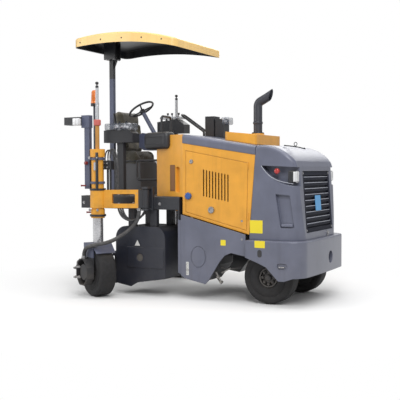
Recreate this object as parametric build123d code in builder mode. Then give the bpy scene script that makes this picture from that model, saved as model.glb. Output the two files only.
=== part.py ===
"""Small wheeled cold planer with a half-metre milling drum, built as separate pieces.

X points forward, Y to the left and Z up, all in millimetres. The origin is on the ground,
under the middle of the machine's overall length and width.
"""

import math
import os

from build123d import *

os.makedirs("parts", exist_ok=True)

# ---- clearances and common plate thicknesses ----
turn_gap = 0.3  # radial gap between a bore and what turns or slides in it
run_gap = 6.0  # gap beside a piece that moves past another
seam_gap = 3.0  # gap round a door or between two covers
sheet = 8.0  # covers and shells
plate = 12.0  # structural plates

# ---- wheels ----
tyre_radius = 287.0
tyre_width = 200.0
tyre_shoulder = 16.0
rim_radius = 105.0
rim_wall = 14.0
rim_width = 170.0
hub_radius = 45.0
hub_depth = 60.0
front_axle_x = 1055.0
front_wheel_y = 456.0
kingpin_y = 318.0

# ---- half width of the frame, which the deck, hood and bumper follow ----
rail_outer_y = 600.0

# ---- rear legs ----
leg_x = -935.0
right_leg_y = -900.0
left_leg_y = 915.0
right_leg_yaw = -29.0
inner_column_radius = 60.0
outer_column_radius = 72.0
column_bottom_z = 905.0
column_top_z = 1700.0
inner_column_top_z = 1400.0
leg_lift = 265.0
crown_gap = 14.0
crown_thickness = 28.0
cheek_gap = 12.0
cheek_thickness = 15.0
cheek_width = 250.0
motor_radius = 92.0
motor_length = 62.0
guard_reach = 150.0
guard_depth = 88.0
arm_pivot_x = -415.0
arm_pivot_y = -rail_outer_y - 90.0
arm_bottom_z = 1020.0
arm_height = 210.0
arm_thickness = 70.0
arm_pin_radius = 22.0
arm_barrel_radius = 45.0

# ---- frame, deck and drum ----
rail_width = 80.0
rail_height = 130.0
deck_z = 1150.0
deck_plate = 20.0
rear_frame_x = -1400.0
bulkhead_x = -20.0
front_rail_y = 200.0
front_rail_z = 470.0
front_rail_height = 140.0
drum_x = -525.0
drum_z = 440.0
drum_radius = 205.0
drum_tip_radius = 290.0
drum_width = 492.0
drum_right_y = -625.0
drum_shaft_radius = 45.0
housing_rear_x = -865.0
housing_front_x = -185.0
housing_right_y = -643.0
housing_left_y = -108.0
housing_top_z = 800.0
housing_corner = 140.0
scraper_pivot_z = 470.0

# ---- hood, nose, skirts and bumper ----
hood_half_width = rail_outer_y
hood_rear_x = 25.0
hood_front_low_x = 855.0
hood_front_high_x = 940.0
hood_low_z = 955.0
hood_low_fall = 0.247
strip_low_z = 1760.0
strip_fall = 0.1556
strip_height = 100.0
door_top_z = 1680.0
door_top_fall = 0.1875
tail_rear_x = -420.0
tail_half_width = 430.0
nose_front_low_x = 1455.0
nose_front_high_x = 1395.0
grille_half_width = 424.0
grille_low_z = 775.0
grille_top_z = 1440.0
nose_lip_z = 1490.0
skirt_half_width = hood_half_width + 45.0
skirt_front_x = 830.0
bumper_half_width = hood_half_width + 110.0
bumper_rear_x = 855.0
bumper_front_x = 1500.0
bumper_bulge = 25.0
bumper_top_z = 700.0
bumper_wall = 20.0
bumper_inner_x = 1440.0
nose_low_z = bumper_top_z

# ---- operator's station ----
seat_x = -982.0
seat_y = 100.0
station_y = -40.0
canopy_rear_x = -1515.0
canopy_front_x = -75.0
canopy_half_width = 595.0
canopy_wall = 14.0
post_x = -1345.0
post_depth = 60.0
post_width = 50.0
wheel_tilt = 32.0
steering_wheel_x = -883.0
steering_wheel_z = 2215.0
steering_wheel_radius = 160.0


def write(name, part):
    """Label a finished piece and write it as its own file."""
    part.label = name
    export_step(part, f"parts/{name}.step")


def hood_low(x):
    """Height of the yellow hood's lower edge at x."""
    return hood_low_z - hood_low_fall * (x - hood_rear_x)


def strip_low(x):
    """Height of the lower edge of the grey strip along the hood's top at x."""
    return strip_low_z - strip_fall * (x - hood_rear_x)


def hood_front(z):
    """Place of the slanted joint between the yellow hood and the grey nose at height z."""
    share = (z - nose_low_z) / (strip_low_z - nose_low_z)
    return hood_front_low_x + share * (hood_front_high_x - hood_front_low_x)


# ======================= wheels =======================
# Right-hand wheel at the origin: heading +X, outer side -Y, axle height = tyre radius.
with BuildPart() as tyre:
    with BuildSketch(Plane.XY.offset(tyre_radius)) as tyre_section:
        with Locations(((tyre_radius + rim_radius + turn_gap) / 2, 0)):
            Rectangle(tyre_radius - rim_radius - turn_gap, tyre_width)
        chamfer(tyre_section.vertices().group_by(Axis.X)[-1], tyre_shoulder)
    revolve(axis=Axis((0, 0, tyre_radius), (0, 1, 0)))

# The hub bore of the rim is open towards +Y, the inner side of a right-hand wheel.
rim_profile = [
    (0, -66),
    (54, -66),
    (54, -36),
    (rim_radius - rim_wall, -36),
    (rim_radius - rim_wall, -rim_width / 2),
    (rim_radius, -rim_width / 2),
    (rim_radius, rim_width / 2),
    (rim_radius - rim_wall, rim_width / 2),
    (rim_radius - rim_wall, -16),
    (hub_radius + turn_gap, -16),
    (hub_radius + turn_gap, -50),
    (0, -50),
]
with BuildPart() as rim:
    with BuildSketch(Plane.XY.offset(tyre_radius)):
        with BuildLine():
            Polyline(*rim_profile, close=True)
        make_face()
    revolve(axis=Axis((0, 0, tyre_radius), (0, 1, 0)))
    with BuildSketch(Plane.XZ.offset(66)):
        with Locations((0, tyre_radius)):
            with PolarLocations(73, 8):
                RegularPolygon(8, 6)
    extrude(amount=-60, mode=Mode.SUBTRACT)

# ======================= front knuckle =======================
stub_inner_y = front_wheel_y - kingpin_y
with BuildPart() as knuckle:
    with BuildSketch(Plane.XZ.offset(-stub_inner_y)):
        with Locations((0, tyre_radius)):
            Circle(hub_radius)
    extrude(amount=stub_inner_y + 45)
    with BuildSketch(Plane.XY.offset(tyre_radius - 70)):
        with Locations((0, stub_inner_y)):
            Circle(34)
    extrude(amount=140)
    with BuildSketch(Plane.XY.offset(tyre_radius - 118)):
        with Locations((0, stub_inner_y)):
            Circle(20)
    extrude(amount=236)
    # steering arm, pointing to the rear
    with BuildSketch(Plane.XY.offset(tyre_radius - 60)):
        with BuildLine():
            Polyline(
                (0, stub_inner_y - 30),
                (0, stub_inner_y + 30),
                (-150, stub_inner_y + 22),
                (-150, stub_inner_y - 22),
                close=True,
            )
        make_face()
        with Locations((-150, stub_inner_y)):
            Circle(22)
    extrude(amount=18)

# ======================= rear leg =======================
crown_z = 2 * tyre_radius + crown_gap
cheek_y = -(tyre_width / 2 + cheek_gap)
cheek_out_y = cheek_y - cheek_thickness
with BuildPart() as leg:
    with BuildSketch(Plane.XY.offset(crown_z + crown_thickness)):
        Circle(inner_column_radius)
    extrude(amount=inner_column_top_z - crown_z - crown_thickness)
    with BuildSketch(Plane.XY.offset(crown_z)):
        with Locations((0, (75 + cheek_out_y) / 2)):
            Rectangle(240, 75 - cheek_out_y)
    extrude(amount=crown_thickness)
    # cheek plate carrying the wheel motor
    with BuildSketch(Plane.XZ.offset(-cheek_y)):
        with BuildLine():
            Polyline(
                (-cheek_width / 2, tyre_radius),
                (-cheek_width / 2, crown_z + crown_thickness),
                (cheek_width / 2, crown_z + crown_thickness),
                (cheek_width / 2, tyre_radius),
                close=True,
            )
        make_face()
        with Locations((0, tyre_radius)):
            Circle(cheek_width / 2)
    extrude(amount=cheek_thickness)
    with BuildSketch(Plane.XZ.offset(-cheek_out_y)):
        with Locations((0, tyre_radius)):
            Circle(motor_radius)
    extrude(amount=motor_length)
    with BuildSketch(Plane.XZ.offset(-cheek_y)):
        with Locations((0, tyre_radius)):
            Circle(hub_radius)
    extrude(amount=cheek_y - 45)
    # eight-sided guard round the motor
    with BuildSketch(Plane.XZ.offset(-cheek_out_y)):
        with Locations((0, tyre_radius)):
            RegularPolygon(guard_reach, 8, major_radius=False, rotation=22.5)
            RegularPolygon(guard_reach - 10, 8, major_radius=False, rotation=22.5, mode=Mode.SUBTRACT)
    extrude(amount=guard_depth)
    # sloping fender over the front of the tyre
    with BuildSketch(Plane.XZ.offset(-cheek_out_y)):
        with BuildLine():
            Polyline(
                (100, crown_z + crown_thickness),
                (124, crown_z + crown_thickness),
                (226, 515),
                (218, 507),
                (112, crown_z),
                (100, crown_z),
                close=True,
            )
        make_face()
    extrude(amount=cheek_out_y - 110)

# Outer column of a leg: tube with collars, closed on top.
with BuildPart() as column:
    with BuildSketch(Plane.XY.offset(column_bottom_z)):
        Circle(outer_column_radius)
    extrude(amount=column_top_z - column_bottom_z)
    with BuildSketch(Plane.XY.offset(column_bottom_z)):
        Circle(outer_column_radius + 8)
    extrude(amount=100)
    with BuildSketch(Plane.XY.offset(column_top_z - 90)):
        Circle(outer_column_radius + 14)
    extrude(amount=90)
    with BuildSketch(Plane.XY.offset(column_bottom_z)):
        Circle(inner_column_radius + turn_gap)
    extrude(amount=column_top_z - column_bottom_z - 20, mode=Mode.SUBTRACT)

# Gauge rod on a column: sleeve, collar, tube and ball.
rod_steps = [  # radius, length
    (24, 270),
    (42, 70),
    (16, 370),
]
ball_radius = 38.0
with BuildPart() as gauge_rod:
    rod_z = column_top_z
    for step_radius, step_length in rod_steps:
        with BuildSketch(Plane.XY.offset(rod_z)):
            Circle(step_radius)
        extrude(amount=step_length)
        rod_z += step_length
    with Locations((0, 0, rod_z + ball_radius * 0.8)):
        Sphere(ball_radius)


def place_copies(name, hand, right_place, left_place):
    """Write the right-hand piece and its mirror image, each at its own place."""
    with BuildPart() as right_piece:
        with Locations(right_place):
            add(hand.part)
    write(name + "_right", right_piece.part)
    mirrored = mirror(hand.part, about=Plane.XZ)
    with BuildPart() as left_piece:
        with Locations(left_place):
            add(mirrored)
    write(name + "_left", left_piece.part)


front_right = Location((front_axle_x, -front_wheel_y, 0))
front_left = Location((front_axle_x, front_wheel_y, 0))
rear_right = Location((leg_x, right_leg_y, 0), (0, 0, right_leg_yaw))
rear_left = Location((leg_x, left_leg_y, 0))
place_copies("front_tyre", tyre, front_right, front_left)
place_copies("front_rim", rim, front_right, front_left)
place_copies("knuckle", knuckle, front_right, front_left)
place_copies("rear_tyre", tyre, rear_right, rear_left)
# The rear wheels hang on the outer side of their hubs, so their rims are turned round.
rim_turned = mirror(rim.part, about=Plane.XZ)
with BuildPart() as rear_rim:
    add(rim_turned)
place_copies("rear_rim", rear_rim, rear_right, rear_left)
place_copies("leg", leg, rear_right, rear_left)
place_copies("gauge_rod", gauge_rod, rear_right, rear_left)

# ======================= swing arm and left column =======================
arm_dx = leg_x - arm_pivot_x
arm_dy = right_leg_y - arm_pivot_y
arm_length = math.hypot(arm_dx, arm_dy)
arm_angle = math.degrees(math.atan2(arm_dy, arm_dx))
arm_top_z = arm_bottom_z + arm_height
arm_plane = Plane(
    origin=(arm_pivot_x, arm_pivot_y, arm_bottom_z),
    x_dir=(arm_dx, arm_dy, 0),
    z_dir=(0, 0, 1),
)
arm_side = Plane(
    origin=(arm_pivot_x, arm_pivot_y, arm_bottom_z),
    x_dir=(arm_dx, arm_dy, 0),
    z_dir=(arm_dy, -arm_dx, 0),
)
with BuildPart() as swing_arm:
    with BuildSketch(arm_plane):
        with Locations((arm_length / 2, 0)):
            Rectangle(arm_length - 60, arm_thickness)
        Circle(arm_barrel_radius)
        with Locations((arm_length, 0)):
            Circle(outer_column_radius + 16)
    extrude(amount=arm_height)
    with BuildSketch(arm_side):
        with Locations((arm_length * 0.45, arm_height / 2)):
            RectangleRounded(270, 112, 14)
    extrude(amount=arm_thickness, both=True, mode=Mode.SUBTRACT)
    with BuildSketch(arm_plane):
        Circle(arm_pin_radius + turn_gap)
    extrude(amount=arm_height, mode=Mode.SUBTRACT)
    with BuildSketch(arm_plane):
        with Locations((arm_length, 0)):
            Circle(outer_column_radius - 2)
    extrude(amount=arm_height, mode=Mode.SUBTRACT)
    with Locations(rear_right):
        add(column.part)
write("right_swing_arm", swing_arm.part)

with BuildPart() as left_column:
    with BuildSketch(Plane.XY.offset(arm_bottom_z)):
        with Locations((leg_x, left_leg_y)):
            Circle(outer_column_radius + 16)
        with Locations((leg_x, (left_leg_y + rail_outer_y) / 2)):
            Rectangle(2 * outer_column_radius + 32, left_leg_y - rail_outer_y)
    extrude(amount=arm_height)
    with BuildSketch(Plane.YZ.offset(leg_x)):
        with Locations(((left_leg_y + rail_outer_y) / 2 - 40, arm_bottom_z + arm_height / 2)):
            RectangleRounded(150, 112, 14)
    extrude(amount=200, both=True, mode=Mode.SUBTRACT)
    with BuildSketch(Plane.XY.offset(arm_bottom_z)):
        with Locations((leg_x, left_leg_y)):
            Circle(outer_column_radius - 2)
    extrude(amount=arm_height, mode=Mode.SUBTRACT)
    with Locations(rear_left):
        add(column.part)
write("left_column", left_column.part)

# ======================= main frame =======================
rail_top_z = deck_z - deck_plate
rail_bottom_z = rail_top_z - rail_height
lug_thickness = 25.0
hanger_places = (housing_rear_x + housing_corner + 50, housing_front_x - housing_corner - 50)
with BuildPart() as main_frame:
    # rear rails with cross beams
    with BuildSketch(Plane.XY.offset(rail_bottom_z)):
        for side in (-1, 1):
            with Locations(((rear_frame_x + bulkhead_x) / 2, side * (rail_outer_y - rail_width / 2))):
                Rectangle(bulkhead_x - rear_frame_x, rail_width)
        for beam_x in (rear_frame_x + 50, *hanger_places, bulkhead_x - 50):
            with Locations((beam_x, 0)):
                Rectangle(100, 2 * rail_outer_y)
    extrude(amount=rail_height)
    # bulkhead between the drum and the engine
    with BuildSketch(Plane.YZ.offset(bulkhead_x - 20)):
        with Locations((0, (front_rail_z + rail_top_z) / 2)):
            Rectangle(2 * rail_outer_y, rail_top_z - front_rail_z)
    extrude(amount=20)
    # front rails with two cross members
    with BuildSketch(Plane.XY.offset(front_rail_z)):
        for side in (-1, 1):
            with Locations(((bulkhead_x + bumper_inner_x) / 2, side * front_rail_y)):
                Rectangle(bumper_inner_x - bulkhead_x, rail_width)
        for beam_x in (front_axle_x - 300, front_axle_x, front_axle_x + 300):
            with Locations((beam_x, 0)):
                Rectangle(90, 2 * front_rail_y)
    extrude(amount=front_rail_height)
    # hangers that carry the drum housing
    with BuildSketch(Plane.XY.offset(housing_top_z)):
        for hanger_x in hanger_places:
            for hanger_y in (-560, -190):
                with Locations((hanger_x, hanger_y)):
                    Rectangle(90, 60)
    extrude(amount=rail_bottom_z - housing_top_z)
    # post, lugs and pin of the swing arm's hinge
    with BuildSketch(Plane.XY.offset(arm_bottom_z - run_gap - lug_thickness)):
        with Locations((arm_pivot_x, -rail_outer_y - 20)):
            Rectangle(130, 40)
    extrude(amount=arm_height + 2 * (run_gap + lug_thickness))
    for lug_z in (arm_bottom_z - run_gap - lug_thickness, arm_top_z + run_gap):
        with BuildSketch(Plane.XY.offset(lug_z)):
            with Locations((arm_pivot_x, (arm_pivot_y - rail_outer_y) / 2)):
                Rectangle(90, -arm_pivot_y - rail_outer_y)
            with Locations((arm_pivot_x, arm_pivot_y)):
                Circle(45)
        extrude(amount=lug_thickness)
    with BuildSketch(Plane.XY.offset(arm_bottom_z - run_gap - lug_thickness)):
        with Locations((arm_pivot_x, arm_pivot_y)):
            Circle(arm_pin_radius)
    extrude(amount=arm_height + 2 * (run_gap + lug_thickness))
    # saddle that holds the front axle
    with BuildSketch(Plane.XY.offset(tyre_radius + 60)):
        with Locations((front_axle_x, 0)):
            Rectangle(90, 130)
    extrude(amount=front_rail_z - tyre_radius - 60)
write("main_frame", main_frame.part)

# ======================= front axle and steering =======================
lug_gap = 6.0
kingpin_lug = 28.0
arm_reach = 150.0
cylinder_x = front_axle_x - arm_reach
cylinder_z = tyre_radius - 77
cylinder_radius = 34.0
rod_radius = 14.0
with BuildPart() as front_axle:
    with BuildSketch(Plane.XY.offset(tyre_radius - 40)):
        with Locations((front_axle_x, 0)):
            Rectangle(100, 480)
    extrude(amount=100)
    for side in (-1, 1):
        with BuildSketch(Plane.XY.offset(tyre_radius - 70 - lug_gap - kingpin_lug)):
            with Locations((front_axle_x, side * 220)):
                Rectangle(100, 40)
        extrude(amount=140 + 2 * (lug_gap + kingpin_lug))
        for lug_z in (tyre_radius - 70 - lug_gap - kingpin_lug, tyre_radius + 70 + lug_gap):
            with BuildSketch(Plane.XY.offset(lug_z)):
                with Locations((front_axle_x, side * (200 + kingpin_y) / 2)):
                    Rectangle(80, kingpin_y - 200)
                with Locations((front_axle_x, side * kingpin_y)):
                    Circle(40)
                    Circle(20 + turn_gap, mode=Mode.SUBTRACT)
            extrude(amount=kingpin_lug)
    # steering cylinder held behind the beam
    with BuildSketch(Plane.XZ.offset(-130)):
        with Locations((cylinder_x, cylinder_z)):
            Circle(cylinder_radius)
    extrude(amount=260)
    with BuildSketch(Plane.XY.offset(cylinder_z - 15)):
        with Locations(((cylinder_x + front_axle_x) / 2, 0)):
            Rectangle(front_axle_x - cylinder_x - 20, 180)
    extrude(amount=80)
    with BuildSketch(Plane.XZ.offset(-130)):
        with Locations((cylinder_x, cylinder_z)):
            Circle(rod_radius + turn_gap)
    extrude(amount=260, mode=Mode.SUBTRACT)
write("front_axle", front_axle.part)

with BuildPart() as steering_rod:
    with BuildSketch(Plane.XZ.offset(-kingpin_y)):
        with Locations((cylinder_x, cylinder_z)):
            Circle(rod_radius)
    extrude(amount=2 * kingpin_y)
    with BuildSketch(Plane.XY.offset(cylinder_z - 12)):
        with Locations((cylinder_x, -kingpin_y), (cylinder_x, kingpin_y)):
            Circle(26)
    extrude(amount=24)
write("steering_rod", steering_rod.part)

# ======================= drum housing, drum and scraper =======================
housing_width = housing_left_y - housing_right_y
with BuildPart() as drum_housing:
    with BuildSketch(Plane.XZ.offset(-housing_left_y)) as housing_side:
        with BuildLine():
            Polyline(
                (housing_rear_x, 125),
                (housing_rear_x + 210, 92),
                (housing_rear_x + 300, 142),
                (housing_front_x, 205),
                (housing_front_x, housing_top_z),
                (housing_rear_x, housing_top_z),
                close=True,
            )
        make_face()
        fillet(housing_side.vertices().group_by(Axis.Y)[-1], housing_corner)
    extrude(amount=housing_width)
    with BuildSketch(Plane.XZ.offset(-housing_left_y + plate)) as bay:
        with BuildLine():
            Polyline(
                (housing_rear_x + plate, 0),
                (housing_front_x - plate, 0),
                (housing_front_x - plate, housing_top_z - plate),
                (housing_rear_x + plate, housing_top_z - plate),
                close=True,
            )
        make_face()
        fillet(bay.vertices().group_by(Axis.Y)[-1], housing_corner - plate)
    extrude(amount=housing_width - 2 * plate, mode=Mode.SUBTRACT)
    # opening behind the drum, closed by the scraper
    with BuildSketch(Plane.YZ.offset(housing_rear_x - 5)):
        with Locations(((housing_left_y + housing_right_y) / 2, scraper_pivot_z / 2 - 10)):
            Rectangle(housing_width - 2 * plate, scraper_pivot_z - 20)
    extrude(amount=plate + 5, mode=Mode.SUBTRACT)
    # raised side panel
    with BuildSketch(Plane.XZ.offset(-housing_right_y)):
        with Locations(((housing_rear_x + housing_front_x) / 2 + 75, 440)):
            RectangleRounded(500, 240, 12)
    extrude(amount=10)
    # ears of the scraper's hinge
    for ear_y in (housing_right_y + plate, housing_left_y):
        with BuildSketch(Plane.XZ.offset(-ear_y)):
            with Locations((housing_rear_x - 15, scraper_pivot_z)):
                Rectangle(70, 60)
        extrude(amount=plate)
    with BuildSketch(Plane.XZ.offset(-housing_left_y)):
        with Locations((drum_x, drum_z)):
            Circle(drum_shaft_radius + turn_gap)
        with Locations((housing_rear_x - 25, scraper_pivot_z)):
            Circle(8 + turn_gap)
    extrude(amount=housing_width + 10, mode=Mode.SUBTRACT)
write("drum_housing", drum_housing.part)

with BuildPart() as scraper:
    with BuildSketch(Plane.XZ.offset(-(housing_left_y - plate - 3))):
        with Locations((housing_rear_x - 25, scraper_pivot_z)):
            Circle(14)
        with Locations((housing_rear_x - 25, (scraper_pivot_z + 120) / 2)):
            Rectangle(14, scraper_pivot_z - 120)
        with Locations((housing_rear_x - 20, 135)):
            Rectangle(24, 40)
    extrude(amount=housing_width - 2 * plate - 6)
    with BuildSketch(Plane.XZ.offset(-housing_left_y)):
        with Locations((housing_rear_x - 25, scraper_pivot_z)):
            Circle(8)
    extrude(amount=housing_width)
write("scraper", scraper.part)

# One tool holder and pick at the top of the drum; +X is the cutting direction.
holder_profile = [(-42, 196), (38, 196), (35, 215), (0, 250), (-30, 240)]
holder_width = 38.0
with BuildPart() as holder:
    with BuildSketch(Plane.XZ.offset(-holder_width / 2)):
        with BuildLine():
            Polyline(*holder_profile, close=True)
        make_face()
    extrude(amount=holder_width)
pick_seat = Plane(origin=(17.5, 0, 232.5), z_dir=(1, 0, 1))
pick_steps = [  # start above the seat, radius, length, taper in degrees
    (0, 16, 8, 0),
    (8, 11, 44, 7.5),
    (52, 5, 17, 10),
]
with BuildPart() as pick:
    for step_z, step_radius, step_length, step_taper in pick_steps:
        with BuildSketch(pick_seat.offset(step_z)):
            RegularPolygon(step_radius, 8)
        extrude(amount=step_length, taper=step_taper)

stations = 24
station_turn = 30.0
station_pitch = 19.5
starts = 2
drum_middle_y = drum_right_y + drum_width / 2
pick_places = []
for station in range(stations):
    tool_y = drum_middle_y + (station - (stations - 1) / 2) * station_pitch
    if station < stations / 2:
        turn = station_turn * station
    else:
        turn = station_turn * (stations - 1 - station) + 90
    for start in range(starts):
        angle = turn + start * 360 / starts
        pick_places.append(Location((drum_x, tool_y, drum_z), (0, angle, 0)))

with BuildPart() as drum_core:
    with BuildSketch(Plane.XZ.offset(-(drum_right_y + drum_width))):
        with Locations((drum_x, drum_z)):
            Circle(drum_radius)
    extrude(amount=drum_width)
    with BuildSketch(Plane.XZ.offset(-housing_left_y)):
        with Locations((drum_x, drum_z)):
            Circle(drum_shaft_radius)
    extrude(amount=housing_width)
    with Locations(pick_places):
        add(holder.part)
write("drum_core", drum_core.part)

with BuildPart() as drum_picks:
    with Locations(pick_places):
        add(pick.part)
write("drum_picks", drum_picks.part)

# ======================= side skirts =======================
tank_front_x = 480.0
skirt_plate = 13.0
with BuildPart() as skirt:
    with BuildSketch(Plane.XZ.offset(skirt_half_width - skirt_plate)):
        with BuildLine():
            Polyline(
                (hood_rear_x, hood_low(hood_rear_x) - seam_gap),
                (hood_rear_x, 262),
                (hood_rear_x + 50, 232),
                (hood_rear_x + 310, 182),
                (hood_rear_x + 350, 220),
                (hood_rear_x + 490, 440),
                (hood_rear_x + 550, 510),
                (hood_rear_x + 630, 545),
                (skirt_front_x, 515),
                (skirt_front_x, hood_low(skirt_front_x) - seam_gap),
                close=True,
            )
        make_face()
    extrude(amount=skirt_plate)
    # tank behind the skirt, against the front rail
    with BuildSketch(Plane.XZ.offset(front_rail_y + rail_width / 2)):
        with BuildLine():
            Polyline(
                (bulkhead_x, hood_low(hood_rear_x) - 60),
                (bulkhead_x, 290),
                (hood_rear_x + 50, 250),
                (hood_rear_x + 310, 215),
                (tank_front_x, 400),
                (tank_front_x, hood_low(tank_front_x) - 60),
                close=True,
            )
        make_face()
    extrude(amount=skirt_half_width - skirt_plate - front_rail_y - rail_width / 2)
    # round-cornered hatch
    with BuildSketch(Plane.XZ.offset(skirt_half_width)):
        with Locations((250, 480)):
            Ellipse(96, 122)
            Ellipse(86, 112, mode=Mode.SUBTRACT)
    extrude(amount=-5, mode=Mode.SUBTRACT)
    # bracket at the front end
    with BuildSketch(Plane.XY.offset(590)):
        with Locations((700, -(skirt_half_width - skirt_plate + front_rail_y + rail_width / 2) / 2)):
            Rectangle(90, skirt_half_width - skirt_plate - front_rail_y - rail_width / 2)
    extrude(amount=20)
place_copies("skirt", skirt, Location((0, 0, 0)), Location((0, 0, 0)))

# ======================= engine hood =======================
door_stop = 18.0
hood_rear_top_z = strip_low(hood_rear_x)
hood_top_front_x = hood_front(strip_low(hood_front_high_x))
door_points = [
    (hood_rear_x + 40, hood_low(hood_rear_x + 40) + 35),
    (hood_front_low_x - 30, hood_low(hood_front_low_x - 30) + 35),
    (hood_front_low_x - 12, door_top_z - door_top_fall * (hood_front_low_x - 57)),
    (hood_rear_x + 40, door_top_z - door_top_fall * 20),
]
with BuildPart() as hood_shell:
    with BuildSketch(Plane.XZ):
        with BuildLine():
            Polyline(
                (hood_rear_x, hood_low(hood_rear_x)),
                (hood_front_low_x, hood_low(hood_front_low_x)),
                (hood_top_front_x, strip_low(hood_front_high_x)),
                (hood_rear_x, hood_rear_top_z),
                close=True,
            )
        make_face()
    extrude(amount=hood_half_width, both=True)
    with BuildSketch(Plane.XZ):
        with BuildLine():
            Polyline(
                (hood_rear_x + sheet, 0),
                (hood_front_high_x + 20, 0),
                (hood_front_high_x + 20, strip_low(hood_front_high_x + 20) - sheet),
                (hood_rear_x + sheet, strip_low(hood_rear_x + sheet) - sheet),
                close=True,
            )
        make_face()
    extrude(amount=hood_half_width - 2 * sheet, both=True, mode=Mode.SUBTRACT)
    # door openings in both sides, each with a narrower stop behind the door
    with BuildSketch(Plane.XZ):
        with BuildLine():
            Polyline(*door_points, close=True)
        make_face()
        offset(amount=-door_stop, kind=Kind.INTERSECTION)
    extrude(amount=hood_half_width + 10, both=True, mode=Mode.SUBTRACT)
    for side in (-1, 1):
        with BuildSketch(Plane.XZ.offset(side * (hood_half_width - sheet))):
            with BuildLine():
                Polyline(*door_points, close=True)
            make_face()
        extrude(amount=side * (sheet + 10), mode=Mode.SUBTRACT)
    # narrower tail between the hood and the operator
    with BuildSketch(Plane.XY.offset(deck_z)):
        with BuildLine():
            Polyline(
                (hood_rear_x, -hood_half_width),
                (hood_rear_x, hood_half_width),
                (tail_rear_x, tail_half_width),
                (tail_rear_x, -tail_half_width),
                close=True,
            )
        make_face()
    extrude(amount=hood_rear_top_z + strip_height - deck_z)
    # slots in the tail's slanting sides
    for side in (-1, 1):
        tail_side = Plane(
            origin=(hood_rear_x, side * hood_half_width, deck_z),
            x_dir=(tail_rear_x - hood_rear_x, side * (tail_half_width - hood_half_width), 0),
            z_dir=(tail_half_width - hood_half_width, side * (hood_rear_x - tail_rear_x), 0),
        )
        with BuildSketch(tail_side):
            with Locations((85, side * 195)):
                RectangleRounded(70, 290, 20)
        extrude(amount=-30, mode=Mode.SUBTRACT)
write("hood_shell", hood_shell.part)

with BuildPart() as hood_top:
    with BuildSketch(Plane.XZ):
        with BuildLine():
            Polyline(
                (hood_rear_x, strip_low(hood_rear_x)),
                (hood_top_front_x, strip_low(hood_front_high_x)),
                (hood_top_front_x, strip_low(hood_front_high_x) + strip_height),
                (hood_rear_x, strip_low(hood_rear_x) + strip_height),
                close=True,
            )
        make_face()
    extrude(amount=hood_half_width + 4, both=True)
    top_edges = hood_top.edges().filter_by(Axis.Y, reverse=True).filter_by(lambda e: e.length > 500)
    fillet(top_edges.group_by(Axis.Z)[-1], 40)
    with BuildSketch(Plane.XZ):
        with BuildLine():
            Polyline(
                (hood_rear_x + 40, strip_low(hood_rear_x + 40)),
                (hood_front_high_x - 60, strip_low(hood_front_high_x - 60)),
                (hood_front_high_x - 60, strip_low(hood_front_high_x - 60) + strip_height - sheet),
                (hood_rear_x + 40, strip_low(hood_rear_x + 40) + strip_height - sheet),
                close=True,
            )
        make_face()
    extrude(amount=hood_half_width - 45, both=True, mode=Mode.SUBTRACT)
write("hood_top", hood_top.part)

# Side doors with louvres, hinged at their front edge.
louvre_count = 9
louvre_pitch = 38.0
with BuildPart() as hood_door:
    with BuildSketch(Plane.XZ.offset(hood_half_width - sheet)):
        with BuildLine():
            Polyline(*door_points, close=True)
        make_face()
        offset(amount=-seam_gap, kind=Kind.INTERSECTION)
    extrude(amount=sheet)
    for louvre in range(louvre_count):
        louvre_x = hood_rear_x + 270 + louvre * louvre_pitch
        with BuildSketch(Plane.XZ.offset(hood_half_width - sheet - 1)):
            with Locations((louvre_x, 1360 - door_top_fall * (louvre_x - hood_rear_x))):
                SlotOverall(300, 14, rotation=90)
        extrude(amount=sheet + 2, mode=Mode.SUBTRACT)
place_copies("hood_door", hood_door, Location((0, 0, 0)), Location((0, 0, 0)))

# ======================= nose, grille and lamps =======================
nose_corner = 185.0
nose_slope = (nose_front_low_x - nose_front_high_x) / (nose_lip_z - nose_low_z)


def nose_face(z):
    """Place of the nose's front face at height z."""
    return nose_front_low_x - nose_slope * (z - nose_low_z)


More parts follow.
